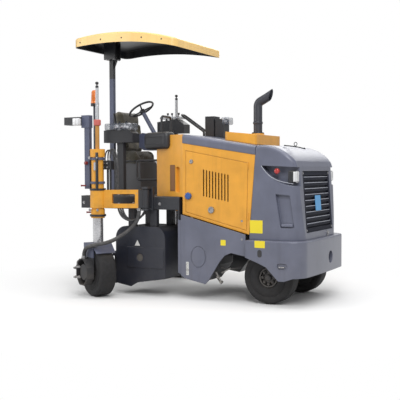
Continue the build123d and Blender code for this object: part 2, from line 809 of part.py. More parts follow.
nose_rear_top_z = strip_low(hood_front_high_x) + strip_height
grille_depth = 40.0
grille_tilt = math.atan(nose_slope)
grille_length = (grille_top_z - grille_low_z) / math.cos(grille_tilt)
grille_mid_z = (grille_low_z + grille_top_z) / 2
grille_plane = Plane(
    origin=(nose_face(grille_mid_z), 0, grille_mid_z),
    x_dir=(0, 1, 0),
    z_dir=(1, 0, nose_slope),
)
lamp_recess = 110.0
with BuildPart() as nose_shell:
    with BuildSketch(Plane.XY.offset(nose_low_z)) as nose_plan:
        with Locations(((hood_front_low_x + nose_front_low_x) / 2, 0)):
            Rectangle(nose_front_low_x - hood_front_low_x, 2 * hood_half_width + 8)
        fillet(nose_plan.vertices().group_by(Axis.X)[-1], nose_corner)
    extrude(amount=1100)
    with BuildSketch(Plane.XZ):
        with BuildLine():
            Polyline(
                (hood_front(nose_rear_top_z) + seam_gap, nose_rear_top_z),
                (hood_front(nose_low_z) + seam_gap, nose_low_z),
                (nose_front_low_x, nose_low_z),
                (nose_face(nose_lip_z), nose_lip_z),
            )
            nose_lip_top = (nose_face(nose_lip_z) - 20, nose_lip_z + 55)
            Line((nose_face(nose_lip_z), nose_lip_z), nose_lip_top)
            ThreePointArc(
                nose_lip_top,
                (nose_front_high_x - 160, nose_lip_z + 172),
                (hood_front(nose_rear_top_z) + seam_gap, nose_rear_top_z),
            )
        make_face()
    extrude(amount=hood_half_width + 10, both=True, mode=Mode.INTERSECT)
    fillet(nose_shell.faces().sort_by(Axis.Z)[-1].edges().filter_by(Axis.Y, reverse=True), 45)
    # engine space
    with BuildSketch(Plane.XZ):
        with BuildLine():
            Polyline(
                (hood_front_low_x - 10, nose_low_z - 10),
                (1345, nose_low_z - 10),
                (1300, 1450),
                (1150, 1600),
                (hood_front_low_x - 10, 1660),
                close=True,
            )
        make_face()
    extrude(amount=485, both=True, mode=Mode.SUBTRACT)
    # grille opening with a narrower stop behind the grille
    with BuildSketch(grille_plane.offset(-grille_depth)):
        RectangleRounded(2 * grille_half_width, grille_length, 20)
    extrude(amount=100, mode=Mode.SUBTRACT)
    with BuildSketch(grille_plane.offset(-grille_depth)):
        RectangleRounded(2 * grille_half_width - 50, grille_length - 50, 20)
    extrude(amount=-150, mode=Mode.SUBTRACT)
    # lamp recesses under the lip and long recesses in the sides
    for side in (-1, 1):
        with BuildSketch(Plane.XZ.offset(-side * (hood_half_width + 4))):
            with BuildLine():
                Line((1500, 1475), (1000, 1500))
                ThreePointArc((1000, 1500), (1120, 1372), (1320, 1290))
                Line((1320, 1290), (1500, 1268))
                Line((1500, 1268), (1500, 1475))
            make_face()
        extrude(amount=side * lamp_recess, mode=Mode.SUBTRACT)
        with BuildSketch(Plane.XZ.offset(-side * (hood_half_width + 4))):
            with BuildLine():
                Polyline((1165, 1195), (1325, 1180), (1368, 835), (1225, 835), close=True)
            make_face()
        extrude(amount=side * 40, mode=Mode.SUBTRACT)
write("nose_shell", nose_shell.part)

grille_width = 2 * (grille_half_width - seam_gap)
grille_height = grille_length - 2 * seam_gap
slat_count = 9
with BuildPart() as grille:
    with BuildSketch(grille_plane.offset(-grille_depth)):
        RectangleRounded(grille_width, grille_height, 17)
    extrude(amount=grille_depth - 6)
    with BuildSketch(grille_plane.offset(-28)):
        RectangleRounded(grille_width - 90, grille_height - 90, 12)
    extrude(amount=40, mode=Mode.SUBTRACT)
    slat_pitch = (grille_height - 90) / slat_count
    for slat in range(slat_count):
        slat_y = (slat + 0.5) * slat_pitch - (grille_height - 90) / 2
        with BuildSketch(grille_plane.offset(-28)):
            with Locations((0, slat_y)):
                Rectangle(grille_width - 90, slat_pitch * 0.55)
        extrude(amount=18)
write("grille", grille.part)

lamp_inner_y = hood_half_width + 4 - lamp_recess
with BuildPart() as headlamps:
    with BuildSketch(Plane.YZ.offset(1310)):
        with Locations((-lamp_inner_y - 33, 1380), (lamp_inner_y + 33, 1380)):
            RectangleRounded(66, 124, 12)
    extrude(amount=82)
write("headlamps", headlamps.part)

with BuildPart() as engine:
    with BuildSketch(Plane.XY.offset(front_rail_z + front_rail_height)):
        with Locations((450, 0)):
            Rectangle(760, 480)
    extrude(amount=720)
    fillet(engine.edges().filter_by(Axis.Z), 40)
    # radiator behind the grille
    with BuildSketch(Plane.XY.offset(bumper_top_z)):
        with Locations((1235, 0)):
            Rectangle(90, 780)
    extrude(amount=710)
write("engine", engine.part)

# ======================= bumper =======================
bumper_low_z = 250.0
tow_hole_y = 140.0
tow_hole_z = 474.0
tow_hole_radius = 68.0
with BuildPart() as bumper:
    with BuildSketch(Plane.XY.offset(bumper_low_z)) as bumper_plan:
        with BuildLine():
            Polyline(
                (bumper_front_x, -bumper_half_width),
                (bumper_rear_x, -bumper_half_width),
                (bumper_rear_x, bumper_half_width),
                (bumper_front_x, bumper_half_width),
            )
            ThreePointArc(
                (bumper_front_x, bumper_half_width),
                (bumper_front_x + bumper_bulge, 0),
                (bumper_front_x, -bumper_half_width),
            )
        make_face()
        fillet(bumper_plan.vertices().group_by(Axis.X)[-1], 170)
    extrude(amount=bumper_top_z - bumper_low_z)
    fillet(bumper.faces().sort_by(Axis.Z)[-1].edges(), 14)
    # wheel space
    with BuildSketch(Plane.XY.offset(bumper_low_z)) as bumper_inside:
        with Locations(((bumper_rear_x - 10 + bumper_inner_x) / 2, 0)):
            Rectangle(bumper_inner_x - bumper_rear_x + 10, 2 * (bumper_half_width - bumper_wall))
        fillet(bumper_inside.vertices().group_by(Axis.X)[-1], 120)
    extrude(amount=bumper_top_z - bumper_low_z - bumper_wall, mode=Mode.SUBTRACT)
    # lower edge, rising over the wheels
    with BuildSketch(Plane.XZ):
        with BuildLine():
            Polyline(
                (bumper_rear_x - 20, 200),
                (bumper_rear_x - 20, 520),
                (front_axle_x - 55, 462),
                (front_axle_x + 45, 420),
                (front_axle_x + 185, 278),
                (front_axle_x + 250, 278),
                (1400, 312),
                (1600, 318),
                (1600, 200),
                close=True,
            )
        make_face()
    extrude(amount=bumper_half_width + 10, both=True, mode=Mode.SUBTRACT)
    # tow hole and tie-down recesses
    with BuildSketch(Plane.YZ.offset(bumper_inner_x)):
        with Locations((tow_hole_y, tow_hole_z)):
            Circle(tow_hole_radius)
    extrude(amount=100, mode=Mode.SUBTRACT)
    for side in (-1, 1):
        with BuildSketch(Plane.XZ.offset(-side * bumper_half_width)):
            with Locations((1285, 435)):
                SlotOverall(120, 62)
        extrude(amount=side * 12, mode=Mode.SUBTRACT)
write("bumper", bumper.part)

# ======================= intake box and exhaust =======================
box_rear_x = 430.0
box_front_x = 825.0
box_half_width = 360.0
box_top_z = 1890.0
box_fall = 0.1
stack_x = 735.0
stack_y = -100.0
stack_radius = 50.0
stack_wall = 5.0
boss_top_z = 1868.0


def hood_top_z(x):
    """Height of the grey hood top at x."""
    return strip_low(x) + strip_height


with BuildPart() as intake_box:
    with BuildSketch(Plane.XZ):
        with BuildLine():
            Polyline(
                (box_rear_x, hood_top_z(box_rear_x)),
                (box_front_x, hood_top_z(box_front_x)),
                (box_front_x, box_top_z - box_fall * (box_front_x - box_rear_x)),
                (box_rear_x, box_top_z),
                close=True,
            )
        make_face()
    extrude(amount=box_half_width, both=True)
    fillet(intake_box.edges().filter_by(Axis.Z), 40)
    with BuildSketch(Plane.XY.offset(hood_top_z(stack_x) + 40)):
        with Locations((stack_x, stack_y)):
            Circle(stack_radius + 24)
    extrude(amount=boss_top_z - hood_top_z(stack_x) - 40)
write("intake_box", intake_box.part)

with BuildPart() as exhaust_stack:
    with BuildLine() as stack_path:
        FilletPolyline(
            (stack_x, stack_y, boss_top_z),
            (stack_x, stack_y, 2208),
            (stack_x + 260, stack_y, 2358),
            radius=110,
        )
    with BuildSketch(Plane.XY.offset(boss_top_z)):
        with Locations((stack_x, stack_y)):
            RegularPolygon(stack_radius, 14)
            RegularPolygon(stack_radius - stack_wall, 14, mode=Mode.SUBTRACT)
    sweep(path=stack_path.wires()[0])
    # slanting mouth under an overhanging upper edge
    mouth = Plane(origin=(stack_x + 160, stack_y, 2300), z_dir=(0.97, 0, -0.24))
    split(bisect_by=mouth, keep=Keep.BOTTOM)
    for ring_z, ring_width, ring_height in ((boss_top_z, 21, 9), (boss_top_z + 110, 5, 24)):
        with BuildSketch(Plane.XY.offset(ring_z)):
            with Locations((stack_x, stack_y)):
                RegularPolygon(stack_radius + ring_width, 14)
                RegularPolygon(stack_radius - stack_wall, 14, mode=Mode.SUBTRACT)
        extrude(amount=ring_height)
write("exhaust_stack", exhaust_stack.part)

# ======================= deck, pedestal and seat =======================
seat_base_z = 1560.0
with BuildPart() as platform:
    with BuildSketch(Plane.XY.offset(deck_z - deck_plate)):
        with Locations(((rear_frame_x + bulkhead_x) / 2, 0)):
            Rectangle(bulkhead_x - rear_frame_x, 2 * rail_outer_y)
    extrude(amount=deck_plate)
    with BuildSketch(Plane.XY.offset(deck_z)):
        with Locations((seat_x - 50, seat_y)):
            Rectangle(380, 440)
    extrude(amount=seat_base_z - deck_z, taper=4)
write("platform", platform.part)

seat_lean = math.radians(8)
with BuildPart() as seat:
    with BuildSketch(Plane.XY.offset(seat_base_z)):
        with Locations((seat_x - 60, seat_y)):
            RectangleRounded(305, 480, 60)
    extrude(amount=130)
    # backrest
    back_plane = Plane(
        origin=(seat_x - 173, seat_y, seat_base_z + 150),
        x_dir=(0, 1, 0),
        z_dir=(math.cos(seat_lean), 0, math.sin(seat_lean)),
    )
    with BuildSketch(back_plane.offset(-60)):
        with Locations((0, 215)):
            RectangleRounded(470, 590, 110)
    extrude(amount=115)
write("seat", seat.part)

# Control consoles on both sides of the seat, each on its own post
console_places = [  # middle y, rear x, front x, lower z
    (-355, -1180, -760, 1790),
    (355, -850, -455, 1920),
]
with BuildPart() as control_consoles:
    for console_y, console_rear, console_front, console_z in console_places:
        with BuildSketch(Plane.XZ.offset(-console_y - 75)):
            with BuildLine():
                Polyline(
                    (console_rear, console_z),
                    (console_front, console_z),
                    (console_front, console_z + 110),
                    (console_front - 110, console_z + 180),
                    (console_rear, console_z + 150),
                    close=True,
                )
            make_face()
        extrude(amount=150)
        console_middle = (console_rear + console_front) / 2
        with BuildSketch(Plane.XY.offset(deck_z)):
            with Locations((console_middle, console_y)):
                Rectangle(90, 60)
        extrude(amount=console_z - deck_z)
        with BuildSketch(Plane.XY.offset(deck_z)):
            with Locations((console_middle, console_y)):
                Rectangle(140, 120)
        extrude(amount=plate)
write("control_consoles", control_consoles.part)

# ======================= steering console and wheel =======================
console_rear_x = -870.0
console_low_z = 1700.0
console_half_width = 100.0
console_top_z = 1915.0
column_direction = Vector(math.sin(math.radians(wheel_tilt)), 0, -math.cos(math.radians(wheel_tilt)))
steering_centre = Vector(steering_wheel_x, station_y, steering_wheel_z)
with BuildPart() as steering_console:
    with BuildSketch(Plane.XZ.offset(-station_y - console_half_width)):
        with BuildLine():
            Polyline(
                (tail_rear_x, console_low_z),
                (tail_rear_x, console_top_z - 115),
                (console_rear_x + 60, console_top_z),
                (console_rear_x, console_top_z - 30),
                (console_rear_x, console_low_z + 50),
                (console_rear_x + 80, console_low_z),
                close=True,
            )
        make_face()
    extrude(amount=2 * console_half_width)
    fillet(steering_console.edges().filter_by(Axis.Z).group_by(Axis.X)[0], 25)
    # steering column
    column_plane = Plane(origin=steering_centre, z_dir=column_direction)
    with BuildSketch(column_plane.offset(60)):
        Circle(26)
    extrude(amount=360)
write("steering_console", steering_console.part)

rim_tube_radius = 13.0
spoke_plane = Plane(origin=steering_centre, x_dir=(0, 1, 0), z_dir=column_direction)
with BuildPart() as steering_wheel:
    with BuildSketch(Plane(origin=steering_centre, x_dir=(0, 1, 0), z_dir=spoke_plane.y_dir)):
        with Locations((steering_wheel_radius, 0)):
            RegularPolygon(rim_tube_radius, 8)
    revolve(axis=Axis(steering_centre, column_direction))
    with BuildSketch(spoke_plane.offset(8)):
        Circle(36)
    extrude(amount=52 - turn_gap)
    with BuildSketch(spoke_plane.offset(-6)):
        for spoke in range(3):
            with PolarLocations(steering_wheel_radius / 2, 1, start_angle=90 + 120 * spoke):
                Rectangle(steering_wheel_radius, 24)
        Circle(36)
    extrude(amount=16)
write("steering_wheel", steering_wheel.part)

# ======================= canopy and post =======================
post_top_z = 2862.0


def canopy_block(inset, drop):
    """Curved roof block, smaller by inset all round and lowered at its lower edge by drop."""
    rear = canopy_rear_x + inset
    front = canopy_front_x - inset
    with BuildPart() as block:
        with BuildSketch(Plane.XZ):
            with BuildLine():
                ThreePointArc((rear, 2950 - drop), ((rear + front) / 2, 2968 - drop), (front, 2865 - drop))
                Line((front, 2865 - drop), (front, 2958 - inset))
                ThreePointArc(
                    (front, 2958 - inset),
                    ((rear + front) / 2 - 90, 3092 - inset),
                    (rear, 3052 - inset),
                )
                Line((rear, 3052 - inset), (rear, 2950 - drop))
            make_face()
        extrude(amount=canopy_half_width - inset, both=True)
        fillet(block.edges().filter_by(Axis.Z), 90 - inset)
    return block.part


canopy_body = canopy_block(0, 0)
canopy_inside = canopy_block(canopy_wall, 60)
# ribs and plate that sit on the post
with BuildPart() as canopy_seat:
    with BuildSketch(Plane.XY.offset(post_top_z)):
        with Locations((post_x, -60), (post_x, 60)):
            Rectangle(170, plate)
    extrude(amount=250)
    add(canopy_block(canopy_wall / 2, 100), mode=Mode.INTERSECT)
    with BuildSketch(Plane.XY.offset(post_top_z)):
        with Locations((post_x, 0)):
            Rectangle(170, 120 + plate)
    extrude(amount=plate)
with BuildPart() as canopy:
    add(canopy_body)
    fillet(canopy.faces().sort_by(Axis.Z)[-1].edges(), 20)
    add(canopy_inside, mode=Mode.SUBTRACT)
    add(canopy_seat.part)
write("canopy", canopy.part)

with BuildPart() as canopy_post:
    with BuildSketch(Plane.XY.offset(deck_z)):
        with Locations((post_x, 0)):
            Rectangle(post_depth, post_width)
    extrude(amount=post_top_z - deck_z)
    with BuildSketch(Plane.XY.offset(deck_z)):
        with Locations((post_x, 0)):
            Rectangle(100, 160)
    extrude(amount=plate)
    with BuildSketch(Plane.XZ.offset(-plate / 2)):
        with BuildLine():
            Polyline(
                (post_x + post_depth / 2, post_top_z),
                (post_x + post_depth / 2 + 55, post_top_z),
                (post_x + post_depth / 2, post_top_z - 120),
                close=True,
            )
        make_face()
    extrude(amount=plate)
write("canopy_post", canopy_post.part)

# ======================= rails, boxes, beacon and work lamp =======================
tube_radius = 14.0
tail_top_z = hood_top_z(hood_rear_x)


def bent_tube(points, bend, radius):
    """Eight-sided bar along a path of straight runs joined by bends."""
    start = Vector(*points[0])
    with BuildPart() as bar:
        with BuildLine() as path:
            FilletPolyline(*points, radius=bend)
        with BuildSketch(Plane(origin=start, z_dir=Vector(*points[1]) - start)):
            RegularPolygon(radius, 8)
        sweep(path=path.wires()[0])
    return bar.part


rail_paths = [
    # hoop on the right rear corner of the tail
    [(-370, -400, tail_top_z), (-370, -400, 2090), (-370, -190, 2090), (-370, -190, tail_top_z)],
    # hairpin sloping up to the rear over the left side of the tail
    [
        (-160, 260, tail_top_z),
        (-160, 260, 1930),
        (-485, 260, 2150),
        (-485, 340, 2150),
        (-160, 340, 1930),
        (-160, 340, tail_top_z),
    ],
    # grab handle beside the way up to the deck
    [
        (tail_rear_x, -400, 1340),
        (tail_rear_x - 300, -400, 1340),
        (tail_rear_x - 300, -400, 1570),
        (tail_rear_x, -400, 1570),
    ],
]
with BuildPart() as handrails:
    for rail_path in rail_paths:
        add(bent_tube(rail_path, 36, tube_radius))
write("handrails", handrails.part)

with BuildPart() as top_boxes:
    for box_from_x, box_to_x, box_height in ((-105, 15, 250), (35, 145, 215)):
        with BuildSketch(Plane.XZ.offset(-350)):
            with BuildLine():
                Polyline(
                    (box_from_x, min(tail_top_z, hood_top_z(box_from_x))),
                    (box_to_x, min(tail_top_z, hood_top_z(box_to_x))),
                    (box_to_x, tail_top_z + box_height),
                    (box_from_x, tail_top_z + box_height),
                    close=True,
                )
            make_face()
        extrude(amount=160)
write("top_boxes", top_boxes.part)

beacon_x = -1215.0
beacon_y = -560.0
beacon_pole_radius = 20.0
beacon_base_z = 2230.0
with BuildPart() as beacon:
    with BuildSketch(Plane.XY.offset(deck_z)):
        with Locations((beacon_x, beacon_y)):
            Circle(beacon_pole_radius)
    extrude(amount=beacon_base_z - deck_z)
    with BuildSketch(Plane.XY.offset(deck_z)):
        with Locations((beacon_x, beacon_y)):
            Circle(beacon_pole_radius + 18)
    extrude(amount=plate)
    with BuildSketch(Plane.XY.offset(beacon_base_z)):
        with Locations((beacon_x, beacon_y)):
            Circle(50)
    extrude(amount=34)
    # tapered dome
    dome_base = (beacon_x, beacon_y, beacon_base_z + 34)
    with BuildSketch(Plane(origin=dome_base, x_dir=(1, 0, 0), z_dir=(0, -1, 0))):
        with BuildLine():
            Polyline((0, 0), (44, 0), (40, 128), (28, 156), (0, 156), close=True)
        make_face()
    revolve(axis=Axis((beacon_x, beacon_y, 0), (0, 0, 1)))
write("beacon", beacon.part)

lamp_x = leg_x - 140
lamp_y = right_leg_y + 10
with BuildPart() as lamp_post:
    with BuildSketch(Plane.XY.offset(arm_top_z + 10)):
        with Locations((lamp_x, lamp_y)):
            Rectangle(70, 50)
    extrude(amount=850)
    with BuildSketch(Plane.XY.offset(1950)):
        with Locations((lamp_x - 15, lamp_y)):
            Rectangle(110, 70)
    extrude(amount=145)
    # clamps round the leg's outer column
    for clamp_z in (arm_top_z + 70, arm_top_z + 345):
        with BuildSketch(Plane.XY.offset(clamp_z)):
            with Locations(((lamp_x + leg_x) / 2, lamp_y)):
                Rectangle(leg_x - lamp_x, 46)
            with Locations((leg_x, right_leg_y)):
                Circle(outer_column_radius + 12)
                Circle(outer_column_radius + turn_gap, mode=Mode.SUBTRACT)
        extrude(amount=26)
    # lamp head
    with BuildSketch(Plane.XY.offset(1985)):
        with Locations((lamp_x - 180, lamp_y)):
            RectangleRounded(230, 150, 12)
    extrude(amount=90)
write("lamp_post", lamp_post.part)

# ======================= valve block and hoses on the right leg =======================
valve_low_z = 1464.0
valve_front_x = -755.0
with BuildPart() as valve_block:
    with BuildSketch(Plane.XY.offset(valve_low_z)):
        with Locations(((leg_x + valve_front_x) / 2, right_leg_y + 45)):
            Rectangle(valve_front_x - leg_x, 70)
        with Locations((leg_x, right_leg_y)):
            Circle(outer_column_radius + turn_gap, mode=Mode.SUBTRACT)
    extrude(amount=100)
    # pressure and return lines down to the arm
    with BuildSketch(Plane.XY.offset(arm_top_z)):
        for line_dx in (112, 148):
            with Locations((leg_x + line_dx, right_leg_y + 45)):
                RegularPolygon(13, 8)
    extrude(amount=valve_low_z - arm_top_z)
write("valve_block", valve_block.part)

hose_radius = 17.0
hose_bend = 95.0
hose_seat = rear_right * Location((-40, cheek_out_y - 38, tyre_radius + guard_reach))
hose_start = hose_seat.position
hose_end_share = 75 / arm_length
hose_end = Vector(arm_pivot_x + hose_end_share * arm_dx, arm_pivot_y + hose_end_share * arm_dy, arm_bottom_z)
with BuildPart() as motor_hose:
    with BuildLine() as hose_path:
        FilletPolyline(
            hose_start,
            hose_start + Vector(0, 0, 108),
            hose_start + Vector(190, -112, 168),
            hose_start + Vector(355, 45, 200),
            hose_start + Vector(465, 270, 328),
            hose_end - Vector(0, 0, 120),
            hose_end,
            radius=hose_bend,
        )
    with BuildSketch(Plane(origin=hose_start, z_dir=(0, 0, 1))):
        RegularPolygon(hose_radius, 10)
    sweep(path=hose_path.wires()[0])
write("motor_hose", motor_hose.part)
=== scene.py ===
"""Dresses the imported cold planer: finishes, seat, tyres, lamps, hoses, fasteners and blank plates."""

import math

import bmesh
import bpy
from bpy.props import FloatProperty, FloatVectorProperty, IntProperty, PointerProperty
from bpy.types import Operator, Panel, PropertyGroup
from mathutils import Matrix, Vector


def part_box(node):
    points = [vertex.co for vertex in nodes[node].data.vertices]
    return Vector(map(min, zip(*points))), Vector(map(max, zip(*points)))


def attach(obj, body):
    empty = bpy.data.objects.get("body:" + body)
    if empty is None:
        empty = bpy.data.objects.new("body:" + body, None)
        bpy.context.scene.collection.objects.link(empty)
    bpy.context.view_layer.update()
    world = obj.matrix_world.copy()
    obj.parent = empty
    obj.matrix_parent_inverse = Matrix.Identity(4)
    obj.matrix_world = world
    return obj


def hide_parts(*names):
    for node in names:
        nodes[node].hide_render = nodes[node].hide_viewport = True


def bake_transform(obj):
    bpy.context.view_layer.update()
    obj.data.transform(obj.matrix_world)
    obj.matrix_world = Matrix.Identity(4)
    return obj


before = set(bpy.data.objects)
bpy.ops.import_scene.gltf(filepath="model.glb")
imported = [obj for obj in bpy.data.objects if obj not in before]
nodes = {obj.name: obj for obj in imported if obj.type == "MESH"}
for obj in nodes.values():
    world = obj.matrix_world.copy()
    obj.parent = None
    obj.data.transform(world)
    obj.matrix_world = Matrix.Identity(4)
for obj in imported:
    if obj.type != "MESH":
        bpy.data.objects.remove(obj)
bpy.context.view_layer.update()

bl_info = {
    "name": "Cold planer dressing",
    "version": (1, 0, 0),
    "blender": (4, 5, 0),
    "location": "View3D > Sidebar > Planer",
    "description": "Finishes and small pieces for a small wheeled cold planer",
    "category": "Object",
}



def middle_of(node):
    """Middle of a frame node's box."""
    low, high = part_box(node)
    return (low + high) / 2


# ---------------------------------------------------------------- places, in metres
leg_x, right_leg_y, _ = middle_of("gauge_rod_right")
left_leg_y = middle_of("gauge_rod_left").y
# The wheel on the swing arm just touches the ground at rest.
tyre_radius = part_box("rear_tyre_right")[1].z / 2
tyre_half_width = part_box("rear_tyre_left")[1].y - left_leg_y
front_axle_x, front_wheel_y = 1.055, middle_of("front_tyre_left").y
# The wheel on the swing arm is turned out by 29 degrees.
right_wheel_out = Vector((-0.4848, -0.8746, 0.0))
right_wheel_ahead = Vector((0.8746, -0.4848, 0.0))
hood_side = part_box("hood_shell")[1].y
skirt_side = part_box("skirt_left")[1].y
bumper_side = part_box("bumper")[1].y
# The beacon's pole stands on the deck.
deck_top, deck_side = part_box("beacon")[0].z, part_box("platform")[1].y
grille_foot_x, grille_foot_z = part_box("grille")[1].x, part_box("grille")[0].z
grille_slope = 0.0758
lamp_z = middle_of("headlamps").z
canopy_middle_x = middle_of("canopy").x
pipe_x, pipe_y = 0.735, middle_of("exhaust_stack").y


# ---------------------------------------------------------------- node groups
def new_group(name, inputs, outputs):
    """Empty shader group with float inputs (name, default) and float outputs."""
    tree = bpy.data.node_groups.new(name, "ShaderNodeTree")
    for label, default in inputs:
        socket = tree.interface.new_socket(label, in_out="INPUT", socket_type="NodeSocketFloat")
        socket.default_value = default
    for label in outputs:
        tree.interface.new_socket(label, in_out="OUTPUT", socket_type="NodeSocketFloat")
    source = tree.nodes.new("NodeGroupInput")
    sink = tree.nodes.new("NodeGroupOutput")
    return tree, source, sink


def add_node(tree, kind, links=(), **values):
    """Node of one kind; values set attributes or numbered inputs, links are (input, socket)."""
    node = tree.nodes.new(kind)
    for key, value in values.items():
        if key.startswith("in_"):
            node.inputs[int(key[3:])].default_value = value
        else:
            setattr(node, key, value)
    for index, socket in links:
        tree.links.new(socket, node.inputs[index])
    return node


def object_place(tree):
    """Object coordinates of the surface."""
    return add_node(tree, "ShaderNodeTexCoord").outputs["Object"]


def noise(tree, place, scale, detail=3.0, rough=0.55):
    """Noise value between 0 and 1; scale is a number or a socket."""
    node = add_node(tree, "ShaderNodeTexNoise", [("Vector", place)])
    node.inputs["Detail"].default_value = detail
    node.inputs["Roughness"].default_value = rough
    if isinstance(scale, (int, float)):
        node.inputs["Scale"].default_value = scale
    else:
        tree.links.new(scale, node.inputs["Scale"])
    return node.outputs["Fac"]


def maths(tree, operation, *terms, clamp=False):
    """Math node on numbers or sockets."""
    node = tree.nodes.new("ShaderNodeMath")
    node.operation = operation
    node.use_clamp = clamp
    for index, term in enumerate(terms):
        if isinstance(term, (int, float)):
            node.inputs[index].default_value = term
        else:
            tree.links.new(term, node.inputs[index])
    return node.outputs[0]


def remap(tree, value, low, high, to_low=0.0, to_high=1.0):
    """Map Range node with clamping."""
    node = add_node(tree, "ShaderNodeMapRange", [(0, value)])
    for index, number in ((1, low), (2, high), (3, to_low), (4, to_high)):
        node.inputs[index].default_value = number
    return node.outputs[0]


def axes(tree, vector):
    """The three parts of a vector."""
    return add_node(tree, "ShaderNodeSeparateXYZ", [(0, vector)]).outputs


def stretched(tree, place, scale):
    """Coordinates multiplied by a scale per axis."""
    node = add_node(tree, "ShaderNodeMapping", [("Vector", place)])
    node.inputs["Scale"].default_value = scale
    return node.outputs[0]


def build_edge_wear():
    """Mask of paint worn off along edges."""
    tree, source, sink = new_group("edge wear", [("Strength", 1.0)], ["Mask"])
    rounded = add_node(tree, "ShaderNodeBevel", samples=4)
    rounded.inputs["Radius"].default_value = 0.006
    flat = add_node(tree, "ShaderNodeNewGeometry")
    alike = add_node(tree, "ShaderNodeVectorMath",
                     [(0, rounded.outputs[0]), (1, flat.outputs["Normal"])], operation="DOT_PRODUCT")
    edge = remap(tree, alike.outputs["Value"], 0.99, 0.86)
    place = object_place(tree)
    patch = remap(tree, noise(tree, place, 9.0, 6.0, 0.7), 0.5, 0.66)
    chips = remap(tree, noise(tree, place, 60.0, 3.0, 0.6), 0.45, 0.6)
    worn = maths(tree, "MULTIPLY", edge, maths(tree, "MULTIPLY", patch, chips))
    tree.links.new(maths(tree, "MULTIPLY", worn, source.outputs["Strength"], clamp=True), sink.inputs[0])
    return tree


def build_dust():
    """Mask of road dust: thick near the ground and on ledges, thin elsewhere."""
    tree, source, sink = new_group("road dust", [("Low", 0.5), ("Ledge", 0.5)], ["Mask"])
    place = object_place(tree)
    height = axes(tree, place)[2]
    low = maths(tree, "MULTIPLY", remap(tree, height, 0.95, 0.1), source.outputs["Low"])
    up = axes(tree, add_node(tree, "ShaderNodeNewGeometry").outputs["Normal"])[2]
    ledge = maths(tree, "MULTIPLY", remap(tree, up, 0.55, 0.95), source.outputs["Ledge"])
    patches = remap(tree, noise(tree, place, 5.0, 7.0, 0.65), 0.3, 0.75)
    total = maths(tree, "MULTIPLY", maths(tree, "ADD", low, ledge), patches, clamp=True)
    tree.links.new(total, sink.inputs[0])
    return tree


def build_streaks():
    """Mask of thin vertical runs of dirt."""
    tree, source, sink = new_group("dirt streaks", [("Strength", 0.5)], ["Mask"])
    place = object_place(tree)
    runs = noise(tree, stretched(tree, place, (16.0, 16.0, 1.1)), 1.0, 4.0, 0.6)
    fade = noise(tree, place, 2.2, 2.0, 0.5)
    mask = maths(tree, "MULTIPLY", remap(tree, runs, 0.52, 0.74), remap(tree, fade, 0.4, 0.62))
    tree.links.new(maths(tree, "MULTIPLY", mask, source.outputs["Strength"], clamp=True), sink.inputs[0])
    return tree


def build_mottle():
    """Slow light and dark variation round 0.5."""
    tree, source, sink = new_group("mottle", [("Scale", 3.0)], ["Value", "Fine"])
    place = object_place(tree)
    tree.links.new(noise(tree, place, source.outputs["Scale"], 4.0, 0.6), sink.inputs[0])
    tree.links.new(noise(tree, place, 180.0, 2.0, 0.5), sink.inputs[1])
    return tree


def build_dents():
    """Height of shallow dents and orange peel in sheet metal."""
    tree, source, sink = new_group("dents and peel", [("Dents", 0.4), ("Peel", 0.3)], ["Height"])
    place = object_place(tree)
    dents = maths(tree, "MULTIPLY", noise(tree, place, 2.6, 1.0, 0.4), source.outputs["Dents"])
    peel = maths(tree, "MULTIPLY", noise(tree, place, 220.0, 1.0, 0.5),
                 maths(tree, "MULTIPLY", source.outputs["Peel"], 0.05))
    tree.links.new(maths(tree, "ADD", dents, peel), sink.inputs[0])
    return tree


def build_weave():
    """Height and shade of a woven cloth."""
    tree, source, sink = new_group("weave", [("Pitch", 420.0)], ["Height", "Shade"])
    place = object_place(tree)
    scaled = add_node(tree, "ShaderNodeVectorMath", [(0, place)], operation="SCALE")
    tree.links.new(source.outputs["Pitch"], scaled.inputs["Scale"])
    x, y, z = axes(tree, scaled.outputs[0])
    across = maths(tree, "ABSOLUTE", maths(tree, "SINE", maths(tree, "ADD", x, z)))
    along = maths(tree, "ABSOLUTE", maths(tree, "SINE", maths(tree, "SUBTRACT", y, z)))
    cloth = maths(tree, "MULTIPLY", across, along)
    tree.links.new(cloth, sink.inputs[0])
    tree.links.new(maths(tree, "MULTIPLY", cloth, noise(tree, place, 14.0, 4.0, 0.6)), sink.inputs[1])
    return tree


groups = {}


def use(tree, name, **values):
    """A node group placed in a material with its own values."""
    node = tree.nodes.new("ShaderNodeGroup")
    node.node_tree = groups[name]
    for label, value in values.items():
        node.inputs[label].default_value = value
    return node


def blend_colour(tree, factor, first, second):
    """Mix of two colours; each is a colour or a socket."""
    node = tree.nodes.new("ShaderNodeMix")
    node.data_type = "RGBA"
    tree.links.new(factor, node.inputs[0])
    for index, colour in ((6, first), (7, second)):
        if isinstance(colour, bpy.types.NodeSocket):
            tree.links.new(colour, node.inputs[index])
        else:
            node.inputs[index].default_value = (*colour, 1.0)
    return node.outputs[2]


def blend_value(tree, factor, first, second):
    """Mix of two numbers; each is a number or a socket."""
    node = tree.nodes.new("ShaderNodeMix")
    tree.links.new(factor, node.inputs[0])
    for index, value in ((2, first), (3, second)):
        if isinstance(value, bpy.types.NodeSocket):
            tree.links.new(value, node.inputs[index])
        else:
            node.inputs[index].default_value = value
    return node.outputs[0]


def shaded(colour, factor):
    """Colour made lighter or darker."""
    return tuple(min(1.0, channel * factor) for channel in colour)


def new_material(name):
    """Material with its Principled shader and tree."""
    material = bpy.data.materials.new(name)
    material.use_nodes = True
    tree = material.node_tree
    shader = tree.nodes["Principled BSDF"]
    return material, tree, shader


dust_colour = (0.36, 0.31, 0.25)
grease_colour = (0.035, 0.03, 0.026)
near_black = (0.02, 0.021, 0.025)


